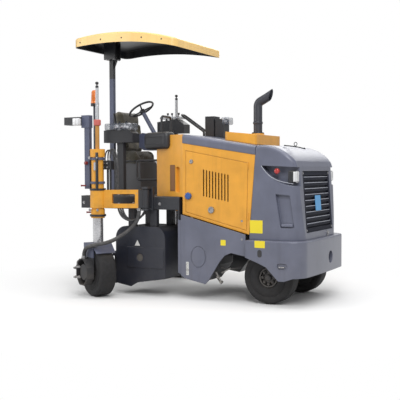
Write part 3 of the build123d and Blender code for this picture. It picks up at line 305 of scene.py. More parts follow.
def dusted(tree, tone, low, ledge):
    """Tone with road dust over it, and the dust's mask."""
    dust = use(tree, "road dust", Low=low, Ledge=ledge).outputs[0]
    return blend_colour(tree, dust, tone, dust_colour), dust


def streaked(tree, tone, strength, dirt):
    """Tone with vertical runs of dirt over it."""
    runs = use(tree, "dirt streaks", Strength=strength).outputs[0]
    return blend_colour(tree, runs, tone, dirt)


def mottled(tree, value, colour, dark, light):
    """Colour that goes from a dark to a light shade of itself with a slow noise value."""
    return blend_colour(tree, remap(tree, value, 0.3, 0.7), shaded(colour, dark), shaded(colour, light))


def relief(tree, shader, height, strength, distance):
    """Bump from a height into the shader's normal; gives the bump node."""
    bump = add_node(tree, "ShaderNodeBump", [("Height", height)])
    bump.inputs["Strength"].default_value = strength
    bump.inputs["Distance"].default_value = distance
    tree.links.new(bump.outputs[0], shader.inputs["Normal"])
    return bump


def paint(name, colour, rough, low=0.5, ledge=0.35, streaks=0.5, wear=0.6,
          bare=(0.16, 0.12, 0.09), dents=0.4, peel=0.3, coat=0.15, gloss=0.5, shade_within=None):
    """Enamel over steel with dust, runs, dents and worn edges; faces nearer the middle than the given
    distance across are near-black painted shade.
    """
    material, tree, shader = new_material(name)
    mottle = use(tree, "mottle", Scale=2.6)
    tone = mottled(tree, mottle.outputs[0], colour, 0.82, 1.08)
    tone = streaked(tree, tone, streaks, shaded(colour, 0.3))
    tone, dust = dusted(tree, tone, low, ledge)
    worn = use(tree, "edge wear", Strength=wear).outputs[0]
    tone = blend_colour(tree, worn, tone, bare)
    if shade_within:
        # Painted shade: faces nearer the middle than this distance across, the inner faces between the parts,
        # are near-black.
        across = maths(tree, "ABSOLUTE", axes(tree, object_place(tree))[1])
        tone = blend_colour(tree, maths(tree, "LESS_THAN", across, shade_within), tone, near_black)
    tree.links.new(tone, shader.inputs["Base Color"])
    dull = maths(tree, "ADD", maths(tree, "MULTIPLY", dust, 0.4),
                 maths(tree, "MULTIPLY", mottle.outputs[1], 0.16))
    tree.links.new(maths(tree, "ADD", dull, rough - 0.08, clamp=True), shader.inputs["Roughness"])
    tree.links.new(maths(tree, "MULTIPLY", worn, 0.5), shader.inputs["Metallic"])
    shader.inputs["Specular IOR Level"].default_value = gloss
    shader.inputs["Coat Weight"].default_value = coat
    shader.inputs["Coat Roughness"].default_value = 0.3
    dented = use(tree, "dents and peel", Dents=dents, Peel=peel).outputs[0]
    height = maths(tree, "SUBTRACT", dented, maths(tree, "MULTIPLY", worn, 0.04))
    bump = relief(tree, shader, height, 0.35, 0.01)
    soft = add_node(tree, "ShaderNodeBevel", samples=6)
    soft.inputs["Radius"].default_value = 0.012
    tree.links.new(soft.outputs[0], bump.inputs["Normal"])
    return material


def metal(name, colour, rough, metallic=1.0, grease=0.4, low=0.3, brushed=False):
    """Bare or plated metal with grease patches and fine scratches."""
    material, tree, shader = new_material(name)
    place = object_place(tree)
    patch = remap(tree, noise(tree, place, 7.0, 5.0, 0.65), 0.48, 0.75, 0.0, grease)
    fine = noise(tree, stretched(tree, place, (60.0, 60.0, 3.0 if brushed else 60.0)), 4.0, 3.0, 0.6)
    tone = mottled(tree, fine, colour, 0.8, 1.12)
    tone = blend_colour(tree, patch, tone, grease_colour)
    tone, dust = dusted(tree, tone, low, 0.3)
    tree.links.new(tone, shader.inputs["Base Color"])
    shine = maths(tree, "SUBTRACT", metallic, maths(tree, "ADD", patch, dust), clamp=True)
    tree.links.new(shine, shader.inputs["Metallic"])
    rougher = maths(tree, "ADD", maths(tree, "MULTIPLY", fine, 0.22), maths(tree, "MULTIPLY", dust, 0.35))
    tree.links.new(maths(tree, "ADD", rougher, rough - 0.1, clamp=True), shader.inputs["Roughness"])
    relief(tree, shader, fine, 0.12, 0.002)
    return material


def rubber(name, colour, rough=0.75, low=0.8):
    """Solid tyre rubber, scuffed and dusty."""
    material, tree, shader = new_material(name)
    place = object_place(tree)
    scuff = remap(tree, noise(tree, place, 24.0, 6.0, 0.7), 0.42, 0.7)
    tone = blend_colour(tree, scuff, colour, shaded(colour, 2.1))
    dust = use(tree, "road dust", Low=low, Ledge=0.4).outputs[0]
    tone = blend_colour(tree, maths(tree, "MULTIPLY", dust, 0.6), tone, dust_colour)
    tree.links.new(tone, shader.inputs["Base Color"])
    tree.links.new(maths(tree, "ADD", maths(tree, "MULTIPLY", dust, 0.2), rough, clamp=True),
                   shader.inputs["Roughness"])
    relief(tree, shader, noise(tree, place, 140.0, 4.0, 0.7), 0.4, 0.002)
    return material


def plastic(name, colour, rough, low=0.2, fade=0.25):
    """Moulded plastic with a fine grain and faded patches."""
    material, tree, shader = new_material(name)
    mottle = use(tree, "mottle", Scale=4.0)
    faded = remap(tree, mottle.outputs[0], 0.35, 0.7, 0.0, fade)
    tone = blend_colour(tree, faded, colour, shaded(colour, 1.6))
    tone, dust = dusted(tree, tone, low, 0.4)
    tree.links.new(tone, shader.inputs["Base Color"])
    tree.links.new(maths(tree, "ADD", maths(tree, "MULTIPLY", dust, 0.35), rough, clamp=True),
                   shader.inputs["Roughness"])
    relief(tree, shader, mottle.outputs[1], 0.3, 0.0015)
    return material


def cloth(name, colour):
    """Woven seat cloth with worn, dusty patches."""
    material, tree, shader = new_material(name)
    weave = use(tree, "weave", Pitch=900.0)
    tone = blend_colour(tree, weave.outputs[1], shaded(colour, 0.55), shaded(colour, 1.7))
    worn = remap(tree, use(tree, "mottle", Scale=7.0).outputs[0], 0.5, 0.72, 0.0, 0.45)
    tone = blend_colour(tree, worn, tone, (0.3, 0.27, 0.21))
    tree.links.new(tone, shader.inputs["Base Color"])
    tree.links.new(maths(tree, "ADD", maths(tree, "MULTIPLY", worn, 0.1), 0.82), shader.inputs["Roughness"])
    shader.inputs["Sheen Weight"].default_value = 0.35
    relief(tree, shader, weave.outputs[0], 0.5, 0.001)
    return material


def lens(name, colour, ribs=140.0):
    """Ribbed lamp cover."""
    material, tree, shader = new_material(name)
    place = object_place(tree)
    x, y, _ = axes(tree, place)
    ribbed = maths(tree, "SINE", maths(tree, "MULTIPLY", maths(tree, "ADD", x, y), ribs))
    tone = blend_colour(tree, remap(tree, ribbed, -1.0, 1.0), shaded(colour, 0.75), colour)
    grime = remap(tree, noise(tree, place, 30.0, 4.0, 0.6), 0.5, 0.8, 0.0, 0.4)
    tree.links.new(blend_colour(tree, grime, tone, dust_colour), shader.inputs["Base Color"])
    tree.links.new(remap(tree, noise(tree, place, 40.0, 3.0, 0.6), 0.3, 0.8, 0.12, 0.32),
                   shader.inputs["Roughness"])
    shader.inputs["Coat Weight"].default_value = 0.5
    relief(tree, shader, ribbed, 0.3, 0.001)
    return material


def banded(name, bands, axis=2, low=0.3, streaks=0.25, wear=0.3):
    """Finish that changes along one axis; bands are (from, colour, metallic, roughness)."""
    material, tree, shader = new_material(name)
    along = axes(tree, object_place(tree))[axis]
    _, tone, metallic, rough = bands[0]
    for start, colour, shine, dull in bands[1:]:
        share = remap(tree, along, start - 0.0008, start + 0.0008)
        tone = blend_colour(tree, share, tone, colour)
        metallic = blend_value(tree, share, metallic, shine)
        rough = blend_value(tree, share, rough, dull)
    mottle = use(tree, "mottle", Scale=5.0)
    greasy = remap(tree, mottle.outputs[0], 0.5, 0.8, 0.0, 0.35)
    tone = blend_colour(tree, greasy, tone, grease_colour)
    tone = streaked(tree, tone, streaks, shaded(dust_colour, 0.4))
    tone, dust = dusted(tree, tone, low, 0.2)
    worn = use(tree, "edge wear", Strength=wear).outputs[0]
    tree.links.new(blend_colour(tree, worn, tone, (0.16, 0.13, 0.11)), shader.inputs["Base Color"])
    tree.links.new(maths(tree, "SUBTRACT", metallic, dust, clamp=True), shader.inputs["Metallic"])
    dull = maths(tree, "ADD", maths(tree, "MULTIPLY", dust, 0.3),
                 maths(tree, "MULTIPLY", mottle.outputs[1], 0.12))
    tree.links.new(maths(tree, "ADD", rough, dull, clamp=True), shader.inputs["Roughness"])
    relief(tree, shader, use(tree, "dents and peel", Dents=0.2, Peel=0.4).outputs[0], 0.25, 0.008)
    return material


def film(name):
    """Thin clear plastic cover with creases and painted highlights along them."""
    material, tree, shader = new_material(name)
    place = object_place(tree)
    crease = noise(tree, stretched(tree, place, (9.0, 22.0, 14.0)), 1.0, 5.0, 0.7)
    # The pale colour along the creases is painted highlight.
    shine = remap(tree, crease, 0.52, 0.62)
    tone = blend_colour(tree, shine, (0.16, 0.18, 0.22), (0.75, 0.77, 0.82))
    tree.links.new(tone, shader.inputs["Base Color"])
    tree.links.new(remap(tree, crease, 0.4, 0.62, 0.28, 0.75), shader.inputs["Alpha"])
    tree.links.new(remap(tree, crease, 0.3, 0.7, 0.12, 0.3), shader.inputs["Roughness"])
    relief(tree, shader, crease, 0.7, 0.02)
    return material


def moulded_roof(name, colour, under):
    """Canopy shell: weathered glossy outside; faces that point down and inward faces of the shell get
    near-black painted shade, and the post bracket is black.
    """
    material, tree, shader = new_material(name)
    facing_x, facing_y, facing_z = axes(tree, add_node(tree, "ShaderNodeNewGeometry").outputs["Normal"])
    x, across, _ = axes(tree, object_place(tree))
    along = maths(tree, "ADD", x, -canopy_middle_x)
    outward = maths(tree, "ADD", maths(tree, "MULTIPLY", along, facing_x),
                    maths(tree, "MULTIPLY", across, facing_y))
    side = remap(tree, facing_z, 0.35, 0.25)
    inward = maths(tree, "MULTIPLY", remap(tree, outward, 0.0, -0.01), side)
    near = maths(tree, "MULTIPLY", maths(tree, "LESS_THAN", maths(tree, "ABSOLUTE", across), 0.4),
                 maths(tree, "LESS_THAN", maths(tree, "ABSOLUTE", along), 0.7))
    bracket = maths(tree, "MULTIPLY", near, side)
    # Painted shade: near-black on faces that point down and on inward faces of the shell; the bracket near
    # the post is black.
    shade_and_bracket = maths(tree, "MAXIMUM", remap(tree, facing_z, -0.25, -0.5), maths(tree, "MAXIMUM", inward, bracket))
    mottle = use(tree, "mottle", Scale=1.8)
    tone = mottled(tree, mottle.outputs[0], colour, 0.86, 1.06)
    tone = streaked(tree, tone, 0.35, shaded(colour, 0.45))
    tone, _ = dusted(tree, tone, 0.0, 0.45)
    tree.links.new(blend_colour(tree, shade_and_bracket, tone, under), shader.inputs["Base Color"])
    tree.links.new(maths(tree, "ADD", maths(tree, "MULTIPLY", mottle.outputs[1], 0.2), 0.22, clamp=True),
                   shader.inputs["Roughness"])
    tree.links.new(maths(tree, "SUBTRACT", 0.4, maths(tree, "MULTIPLY", shade_and_bracket, 0.4)),
                   shader.inputs["Coat Weight"])
    relief(tree, shader, use(tree, "dents and peel", Dents=0.3, Peel=0.5).outputs[0], 0.2, 0.01)
    return material


# ---------------------------------------------------------------- shapes
def block(bm, middle, size, rounding=0.0, steps=2, turn=None):
    """Box with rounded edges."""
    placed = Matrix.Translation(middle) @ (turn or Matrix()) @ Matrix.Diagonal((*size, 1.0))
    corners = bmesh.ops.create_cube(bm, size=1.0, matrix=placed)["verts"]
    if rounding:
        edges = list({edge for vert in corners for edge in vert.link_edges})
        bmesh.ops.bevel(bm, geom=edges, offset=rounding, segments=steps, profile=0.5,
                        affect="EDGES", material=-1, clamp_overlap=True)


def rod(bm, start, end, radius, sides=20, end_radius=None):
    """Round bar or cone between two points."""
    start, end = Vector(start), Vector(end)
    axis = end - start
    placed = Matrix.Translation((start + end) / 2) @ axis.to_track_quat("Z", "Y").to_matrix().to_4x4()
    bmesh.ops.create_cone(bm, cap_ends=True, segments=sides, radius1=radius,
                          radius2=radius if end_radius is None else end_radius,
                          depth=axis.length, matrix=placed)


def turned(bm, profile, origin, axis, steps=48):
    """Ring or disc turned from a profile of (radius, place along the axis)."""
    origin, axis = Vector(origin), Vector(axis).normalized()
    side = axis.orthogonal().normalized()
    points = [bm.verts.new(origin + side * radius + axis * place) for radius, place in profile]
    lines = [bm.edges.new(pair) for pair in zip(points, points[1:])]
    bmesh.ops.spin(bm, geom=points + lines, cent=origin, axis=axis, angle=2 * math.pi,
                   steps=steps, use_merge=True)


def ring_section(reach, radius, corners):
    """Closed round profile, for a ring of round bar."""
    angles = [2 * math.pi * corner / corners for corner in range(corners + 1)]
    return [(reach + radius * math.cos(angle), radius * math.sin(angle)) for angle in angles]


def bolt(bm, place, facing, across=0.019, washer=True):
    """Hexagon head with its washer, standing on a surface."""
    place, facing = Vector(place), Vector(facing).normalized()
    if washer:
        rod(bm, place - facing * 0.001, place + facing * 0.0025, across * 0.85, 18)
    rod(bm, place, place + facing * across * 0.42, across * 0.58, 6)
    rod(bm, place + facing * across * 0.42, place + facing * across * 0.5, across * 0.5, 6,
        end_radius=across * 0.42)


def plate(bm, middle, size, thickness, facing, corner=0.01):
    """Flat plate with round corners, lying on a surface that faces one way."""
    normal = Vector(facing).normalized()
    up = (Vector((0, 0, 1)) - normal * normal.z).normalized()
    across = up.cross(normal)
    turn = Matrix((across, up, normal)).transposed().to_4x4()
    placed = Matrix.Translation(Vector(middle) + normal * thickness / 2) @ turn
    placed = placed @ Matrix.Diagonal((size[0], size[1], thickness, 1.0))
    corners = bmesh.ops.create_cube(bm, size=1.0, matrix=placed)["verts"]
    edges = {edge for vert in corners for edge in vert.link_edges}
    short = []
    for edge in edges:
        run = (edge.verts[0].co - edge.verts[1].co).normalized()
        if abs(run.dot(normal)) > 0.9:
            short.append(edge)
    bmesh.ops.bevel(bm, geom=short, offset=corner, segments=5, profile=0.5,
                    affect="EDGES", material=-1, clamp_overlap=True)


def piece(name, body, bm, material, sharp=32.0, merge=0.0):
    """Object made from a bmesh with one finish; it rides on a body, unless that is None."""
    if merge:
        bmesh.ops.remove_doubles(bm, verts=bm.verts, dist=merge)
    bmesh.ops.recalc_face_normals(bm, faces=bm.faces)
    mesh = bpy.data.meshes.new(name)
    bm.to_mesh(mesh)
    bm.free()
    mesh.shade_smooth()
    mesh.set_sharp_from_angle(angle=math.radians(sharp))
    mesh.materials.append(finish[material])
    made = bpy.data.objects.new(name, mesh)
    bpy.context.scene.collection.objects.link(made)
    if body:
        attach(made, body)
    return made


finish = {}
frame_finish = {
    "main_frame": "frame", "front_axle": "frame", "steering_rod": "chrome", "drum_housing": "navy",
    "scraper": "frame", "drum_core": "iron", "drum_picks": "steel", "engine": "iron",
    "hood_shell": "yellow", "hood_top": "grey", "nose_shell": "grey", "grille": "grille",
    "headlamps": "black", "bumper": "grey", "intake_box": "yellow", "exhaust_stack": "exhaust",
    "platform": "deck", "seat": "seat", "control_consoles": "black", "steering_console": "console",
    "steering_wheel": "black", "canopy": "canopy", "canopy_post": "post", "handrails": "rail",
    "top_boxes": "black", "beacon": "beacon", "lamp_post": "lamp post", "right_swing_arm": "arm yellow",
    "left_column": "column yellow", "valve_block": "black", "motor_hose": "hose",
    "front_rim_right": "rim", "front_rim_left": "rim", "rear_rim_right": "rim", "rear_rim_left": "rim",
    "knuckle_right": "frame", "knuckle_left": "frame", "leg_right": "leg", "leg_left": "leg",
    "gauge_rod_right": "gauge rod", "gauge_rod_left": "gauge rod", "skirt_right": "skirt",
    "skirt_left": "skirt", "hood_door_right": "yellow", "hood_door_left": "yellow",
    "front_tyre_right": "rubber", "front_tyre_left": "rubber",
    "rear_tyre_right": "rubber", "rear_tyre_left": "rubber",
}


# ---------------------------------------------------------------- settings
class PlanerColours(PropertyGroup):
    """Colours of the finishes."""

    body: FloatVectorProperty(name="Body", description="Orange-yellow of the hood and the arms",
                              subtype="COLOR", size=3, min=0, max=1, default=(0.84, 0.39, 0.04))
    trim: FloatVectorProperty(name="Trim", description="Grey-blue of the bumper, nose and skirts",
                              subtype="COLOR", size=3, min=0, max=1, default=(0.135, 0.145, 0.2))
    slate: FloatVectorProperty(name="Slate", description="Slate blue of the legs and posts",
                               subtype="COLOR", size=3, min=0, max=1, default=(0.085, 0.098, 0.16))
    housing: FloatVectorProperty(name="Housing", description="Near-black of the drum housing",
                                 subtype="COLOR", size=3, min=0, max=1, default=(0.016, 0.019, 0.032))
    roof: FloatVectorProperty(name="Roof", description="Pale yellow of the canopy shell",
                              subtype="COLOR", size=3, min=0, max=1, default=(0.93, 0.62, 0.22))
    fabric: FloatVectorProperty(name="Seat cloth", description="Olive brown of the seat cloth",
                                subtype="COLOR", size=3, min=0, max=1, default=(0.085, 0.078, 0.055))


class PlanerSizes(PropertyGroup):
    """Sizes of the small pieces."""

    bolt_width: FloatProperty(name="Bolt width", description="Width across the flats of a bolt head",
                              unit="LENGTH", default=0.024, min=0.008, max=0.05)
    shoulder: FloatProperty(name="Tyre shoulder", description="Radius of the tyres' shoulders",
                            unit="LENGTH", default=0.03, min=0.005, max=0.06)
    hose_pitch: FloatProperty(name="Hose pitch", description="Distance from one hose rib to the next",
                              unit="LENGTH", default=0.012, min=0.006, max=0.03)
    pad_swell: FloatProperty(name="Pad swell", description="How far a seat pad may puff out",
                             unit="LENGTH", default=0.014, min=0.0, max=0.03)
    wheel_nuts: IntProperty(name="Wheel nuts", description="Nuts on each wheel", default=8, min=4, max=12)


class PlanerLights(PropertyGroup):
    """Strengths of the studio lights."""

    key: FloatProperty(name="Key", description="Power of the main soft light in watts",
                       default=420.0, min=0.0)
    fill: FloatProperty(name="Fill", description="Power of the side light in watts", default=190.0, min=0.0)
    top: FloatProperty(name="Top", description="Power of the light overhead in watts", default=260.0, min=0.0)
    sky: FloatProperty(name="Sky", description="Strength of the even light from all round",
                       default=0.5, min=0.0)


# ---------------------------------------------------------------- finishes
class PLANER_OT_groups(Operator):
    """Build the shader groups that the finishes share"""

    bl_idname = "planer.groups"
    bl_label = "Shader groups"

    def execute(self, context):
        groups["edge wear"] = build_edge_wear()
        groups["road dust"] = build_dust()
        groups["dirt streaks"] = build_streaks()
        groups["mottle"] = build_mottle()
        groups["dents and peel"] = build_dents()
        groups["weave"] = build_weave()
        return {"FINISHED"}


class PLANER_OT_finishes(Operator):
    """Make every finish and give each frame node its own"""

    bl_idname = "planer.finishes"
    bl_label = "Finishes"

    def execute(self, context):
        hue = context.scene.planer_colours
        body, trim, slate = tuple(hue.body), tuple(hue.trim), tuple(hue.slate)
        finish["yellow"] = paint("hood yellow", body, 0.34, low=0.1, ledge=0.1, streaks=0.2, wear=0.5,
                                 coat=0.3)
        finish["column yellow"] = paint("column yellow", shaded(body, 0.95), 0.4, low=0.1, ledge=0.2,
                                        streaks=0.3, wear=0.8)
        finish["arm yellow"] = banded("arm yellow", [
            (-3.0, shaded(body, 0.95), 0.0, 0.4), (-0.475, (0.022, 0.024, 0.03), 0.0, 0.45)], axis=0, low=0.1)
        finish["grey"] = paint("cover grey", trim, 0.34, low=0.12, ledge=0.06, streaks=0.22, wear=0.4,
                               coat=0.3, bare=(0.12, 0.1, 0.09))
        finish["navy"] = paint("housing black", tuple(hue.housing), 0.42, low=0.08, ledge=0.25, streaks=0.25,
                               wear=0.5, bare=(0.2, 0.15, 0.11), dents=0.7)
        finish["frame"] = paint("frame black", (0.025, 0.027, 0.034), 0.5, low=0.15, ledge=0.3,
                                streaks=0.3, wear=0.7)
        finish["deck"] = paint("deck black", (0.05, 0.05, 0.055), 0.55, low=0.0, ledge=0.7, streaks=0.2,
                               wear=0.9)
        finish["console"] = paint("console slate", slate, 0.4, low=0.0, ledge=0.3, streaks=0.3, wear=0.5)
        finish["rail"] = paint("rail black", (0.025, 0.026, 0.03), 0.35, low=0.0, ledge=0.2, streaks=0.1,
                               wear=0.9, bare=(0.25, 0.24, 0.23))
        # The skirts' inner faces, nearer the middle than 0.631 m, get near-black painted shade.
        finish["skirt"] = paint("skirt grey", trim, 0.36, low=0.12, ledge=0.06, streaks=0.22, wear=0.4,
                                coat=0.3, shade_within=0.631)
        finish["grille"] = paint("grille dark", (0.013, 0.015, 0.026), 0.62, low=0.0, ledge=0.05, streaks=0.2,
                                 wear=0.4, bare=(0.2, 0.2, 0.22), coat=0.0, gloss=0.15)
        # Pale grey of the grille's slat edges: painted highlight.
        finish["slat"] = paint("slat edge highlight", (0.42, 0.44, 0.52), 0.4, low=0.0, ledge=0.1, streaks=0.3,
                               wear=0.6)
        finish["chrome"] = metal("plated rod", (0.62, 0.62, 0.64), 0.2, grease=0.35, low=0.3, brushed=True)
        finish["steel"] = metal("worn steel", (0.42, 0.41, 0.4), 0.42, grease=0.3, low=0.5)
        finish["bolt"] = metal("zinc bolts", (0.4, 0.4, 0.41), 0.38, grease=0.45, low=0.4)
        finish["iron"] = metal("cast iron", (0.12, 0.115, 0.11), 0.6, metallic=0.7, grease=0.5, low=0.5)
        finish["rim"] = metal("wheel disc", (0.05, 0.05, 0.055), 0.5, metallic=0.5, grease=0.4, low=0.3)
        finish["exhaust"] = paint("exhaust black", (0.035, 0.037, 0.048), 0.42, low=0.0, ledge=0.2,
                                  streaks=0.2, wear=0.7, bare=(0.12, 0.07, 0.045))
        finish["rubber"] = rubber("tyre rubber", (0.007, 0.007, 0.0085), low=0.07)
        finish["hose"] = rubber("hose rubber", (0.05, 0.05, 0.052), rough=0.6, low=0.35)
        finish["black"] = plastic("black plastic", near_black, 0.42)
        finish["knob"] = plastic("dark red knob", (0.2, 0.018, 0.02), 0.35)
        finish["blue"] = plastic("blue plastic", (0.03, 0.1, 0.33), 0.35, low=0.1)
        finish["white plate"] = plastic("blank white plate", (0.7, 0.7, 0.68), 0.4, fade=0.1)
        finish["yellow plate"] = plastic("blank yellow plate", (0.88, 0.7, 0.03), 0.4, fade=0.1)
        finish["tag blue"] = plastic("blank blue tag", (0.1, 0.37, 0.72), 0.4, low=0.0, fade=0.1)
        finish["silver plate"] = plastic("blank silver plate", (0.42, 0.44, 0.5), 0.35, fade=0.1)
        finish["white lens"] = lens("white lens", (0.86, 0.87, 0.89))
        finish["red lens"] = lens("red lens", (0.55, 0.02, 0.02))
        finish["amber lens"] = lens("amber lens", (0.9, 0.22, 0.015), ribs=60.0)
        # Brown of the hood's tail slots: painted shade inside the slots.
        finish["slot shade"] = paint("painted slot shade", (0.24, 0.11, 0.04), 0.6, low=0.2, ledge=0.2, streaks=0.4,
                               wear=0.2)
        finish["seat"] = cloth("seat cloth", tuple(hue.fabric))
        finish["film"] = film("clear film")
        # The canopy's underside and inner faces get near-black painted shade.
        finish["canopy"] = moulded_roof("canopy shell", tuple(hue.roof), near_black)
        finish["leg"] = banded("leg slate", [
            (0.0, near_black, 0.0, 0.5), (0.455, slate, 0.0, 0.42),
            (0.618, (0.6, 0.6, 0.62), 0.9, 0.2)], low=0.12)
        finish["post"] = banded("post slate", [
            (0.0, slate, 0.0, 0.42), (2.62, near_black, 0.0, 0.4)], wear=0.5)
        finish["gauge rod"] = banded("gauge rod", [
            (0.0, (0.5, 0.24, 0.05), 0.0, 0.45), (1.97, (0.55, 0.13, 0.11), 0.0, 0.4),
            (2.04, (0.5, 0.51, 0.53), 0.5, 0.3), (2.405, near_black, 0.0, 0.3)], low=0.0, streaks=0.15)
        finish["beacon"] = banded("beacon", [
            (0.0, (0.06, 0.065, 0.08), 0.0, 0.45), (2.23, near_black, 0.0, 0.4),
            (2.264, (0.85, 0.2, 0.02), 0.0, 0.15)], low=0.0, streaks=0.1, wear=0.0)
        finish["lamp post"] = banded("lamp post", [
            (-2.0, near_black, 0.0, 0.4), (-1.139, slate, 0.0, 0.42)], axis=0, low=0.0, wear=0.4)
        for name, key in frame_finish.items():
            if name in nodes:
                slots = nodes[name].data.materials
                slots.clear()
                slots.append(finish[key])
        return {"FINISHED"}


def smooth_line(route, fine=16):
    """Points along the smooth spline that has the route's points as its control points."""
    line = bpy.data.curves.new("route", "CURVE")
    line.dimensions = "3D"
    line.resolution_u = fine
    spline = line.splines.new("NURBS")
    spline.points.add(len(route) - 1)
    for point, place in zip(spline.points, route):
        point.co = (*place, 1.0)
    spline.order_u = 3
    spline.use_endpoint_u = True
    holder = bpy.data.objects.new("route", line)
    mesh = bpy.data.meshes.new_from_object(holder)
    places = [vert.co.copy() for vert in mesh.vertices]
    bpy.data.objects.remove(holder)
    bpy.data.curves.remove(line)
    bpy.data.meshes.remove(mesh)
    return places


def hose(bm, route, radius, sides=12, pitch=0.0, depth=0.14, fine=16):
    """Tube extruded ring by ring along a smooth line; a pitch gives it corrugations."""
    places = smooth_line(route, fine)
    if pitch:
        spaced, carry = [places[0]], 0.0
        for start, end in zip(places, places[1:]):
            run = (end - start).length
            while carry + pitch / 4 <= run:
                carry += pitch / 4
                spaced.append(start.lerp(end, carry / run))
            carry -= run
        places = spaced
    along = (places[1] - places[0]).normalized()
    side = along.orthogonal().normalized()
    ring, before = None, None
    for index, place in enumerate(places):
        ahead = places[min(index + 1, len(places) - 1)] - places[max(index - 1, 0)]
        along = ahead.normalized()
        side = (side - along * side.dot(along)).normalized()
        wide = radius * (1.0 - depth if pitch and index % 4 in (0, 1) else 1.0)
        turn = Matrix((side, along.cross(side), along)).transposed().to_4x4()
        placed = Matrix.Translation(place) @ turn @ Matrix.Diagonal((wide, wide, 1.0, 1.0))
        if ring is None:
            verts = bmesh.ops.create_circle(bm, cap_ends=True, segments=sides, radius=1.0,
                                            matrix=placed)["verts"]
            ring = list({edge for vert in verts for edge in vert.link_edges})
        else:
            made = bmesh.ops.extrude_edge_only(bm, edges=ring)["geom"]
            verts = [item for item in made if isinstance(item, bmesh.types.BMVert)]
            edges = [item for item in made if isinstance(item, bmesh.types.BMEdge)]
            ring = [edge for edge in edges if set(edge.verts) <= set(verts)]
            bmesh.ops.transform(bm, matrix=placed @ before.inverted(), verts=verts)
        before = placed
    bmesh.ops.holes_fill(bm, edges=ring, sides=sides)


# ---------------------------------------------------------------- wheels
# name, body, middle, way out along the axle
wheels = (
    ("front_right", "front_wheel_right", (front_axle_x, -front_wheel_y, tyre_radius), (0.0, -1.0, 0.0)),
    ("front_left", "front_wheel_left", (front_axle_x, front_wheel_y, tyre_radius), (0.0, 1.0, 0.0)),
    ("rear_right", "rear_wheel_right", (leg_x, right_leg_y, tyre_radius), right_wheel_out),
    ("rear_left", "rear_wheel_left", (leg_x, left_leg_y, tyre_radius), (0.0, 1.0, 0.0)),
)


class PLANER_OT_tyres(Operator):
    """Solid rubber tyres with round shoulders and moulded sidewalls"""

    bl_idname = "planer.tyres"
    bl_label = "Tyres"

    def execute(self, context):
        shoulder = context.scene.planer_sizes.shoulder
        side = [(0.106, 0.07), (0.118, 0.09), (0.135, 0.098), (0.205, tyre_half_width), (0.209, 0.096),
                (0.213, tyre_half_width), (tyre_radius, tyre_half_width)]
        profile = side + [(wide, -place) for wide, place in reversed(side)] + side[:1]
        for name, body, middle, out in wheels:
            end, hand = name.split("_")
            bm = bmesh.new()
            turned(bm, profile, middle, out, steps=96)
            bmesh.ops.remove_doubles(bm, verts=bm.verts, dist=0.0001)
            axis, centre = Vector(out).normalized(), Vector(middle)
            rims = []
            for edge in bm.edges:
                reach = [(vert.co - centre).dot(axis) for vert in edge.verts]
                away = [(vert.co - centre - axis * place).length for vert, place in zip(edge.verts, reach)]
                if min(away) > tyre_radius - 0.001 and abs(reach[0] - reach[1]) < 0.001:
                    rims.append(edge)
            bmesh.ops.bevel(bm, geom=rims, offset=shoulder, segments=6, profile=0.5,
                            affect="EDGES", material=-1, clamp_overlap=True)
            made = piece(f"tyre_{name}", body, bm, "rubber", sharp=50.0)
            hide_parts(f"{end}_tyre_{hand}")
        return {"FINISHED"}


class PLANER_OT_hubs(Operator):
    """Hub caps and wheel nuts"""

    bl_idname = "planer.hubs"
    bl_label = "Hub caps and nuts"

    def execute(self, context):
        count = context.scene.planer_sizes.wheel_nuts
        for name, body, middle, out in wheels:
            axis, centre = Vector(out).normalized(), Vector(middle)
            side = axis.orthogonal().normalized()
            bm = bmesh.new()
            turned(bm, [(0.0, 0.094), (0.02, 0.094), (0.03, 0.089), (0.034, 0.08), (0.034, 0.04)],
                   middle, out, steps=32)
            for index in range(count):
                spoke = Matrix.Rotation(2 * math.pi * index / count, 3, axis) @ side
                bolt(bm, centre + spoke * 0.07 + axis * 0.076, axis, 0.02)
            piece(f"hub_cap_{name}", body, bm, "rim", merge=0.0001)
        return {"FINISHED"}


class PLANER_OT_motor(Operator):
    """Drive motor fittings on the swinging wheel and its corrugated hose"""

    bl_idname = "planer.motor"
    bl_label = "Drive motor and hose"

    def execute(self, context):
        out, ahead, up = right_wheel_out, right_wheel_ahead, Vector((0, 0, 1))
        hub = Vector((leg_x, right_leg_y, tyre_radius))
        bm = bmesh.new()
        for along, height in ((-0.05, 0.05), (0.045, 0.07), (0.05, -0.045), (-0.045, -0.055)):
            foot = hub + out * 0.255 + ahead * along + up * height
            rod(bm, foot, foot + out * 0.018, 0.016, 6)
            rod(bm, foot + out * 0.018, foot + out * 0.034, 0.011, 20)
        piece("motor_ports", "right_leg", bm, "bolt")
        bm = bmesh.new()
        foot = hub + out * 0.25
        hose(bm, [foot + ahead * 0.045 + up * 0.07, foot + out * 0.028 + ahead * 0.045 + up * 0.075,
                  foot + out * 0.03 + ahead * 0.03 + up * 0.12, foot + up * 0.14,
                  foot - out * 0.06 - ahead * 0.03 + up * 0.15], 0.009, fine=8)
        piece("motor_short_hose", "right_leg", bm, "hose")

        route = [(-1.05, -1.0249, 0.437), (-1.05, -1.0249, 0.545), (-0.86, -1.1369, 0.605),
                 (-0.695, -0.9799, 0.637), (-0.585, -0.7549, 0.765), (-0.4845, -0.7181, 0.9),
                 (-0.4845, -0.7181, 1.02)]
        bm = bmesh.new()
        hose(bm, route, 0.0235, sides=18, pitch=context.scene.planer_sizes.hose_pitch, fine=40)
        conduit = piece("motor_conduit", None, bm, "hose", sharp=60.0)
        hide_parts("motor_hose")
        bm = bmesh.new()
        for end, way in ((route[0], (0, 0, 1)), (route[-1], (0, 0, -1))):
            turned(bm, [(0.0, 0.0), (0.03, 0.0), (0.03, 0.014), (0.026, 0.018), (0.026, 0.034), (0.0, 0.034)],
                   end, way, steps=28)
        made = piece("conduit_collars", None, bm, "bolt", merge=0.0001)
        for item in (conduit, made):
            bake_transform(item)
        return {"FINISHED"}


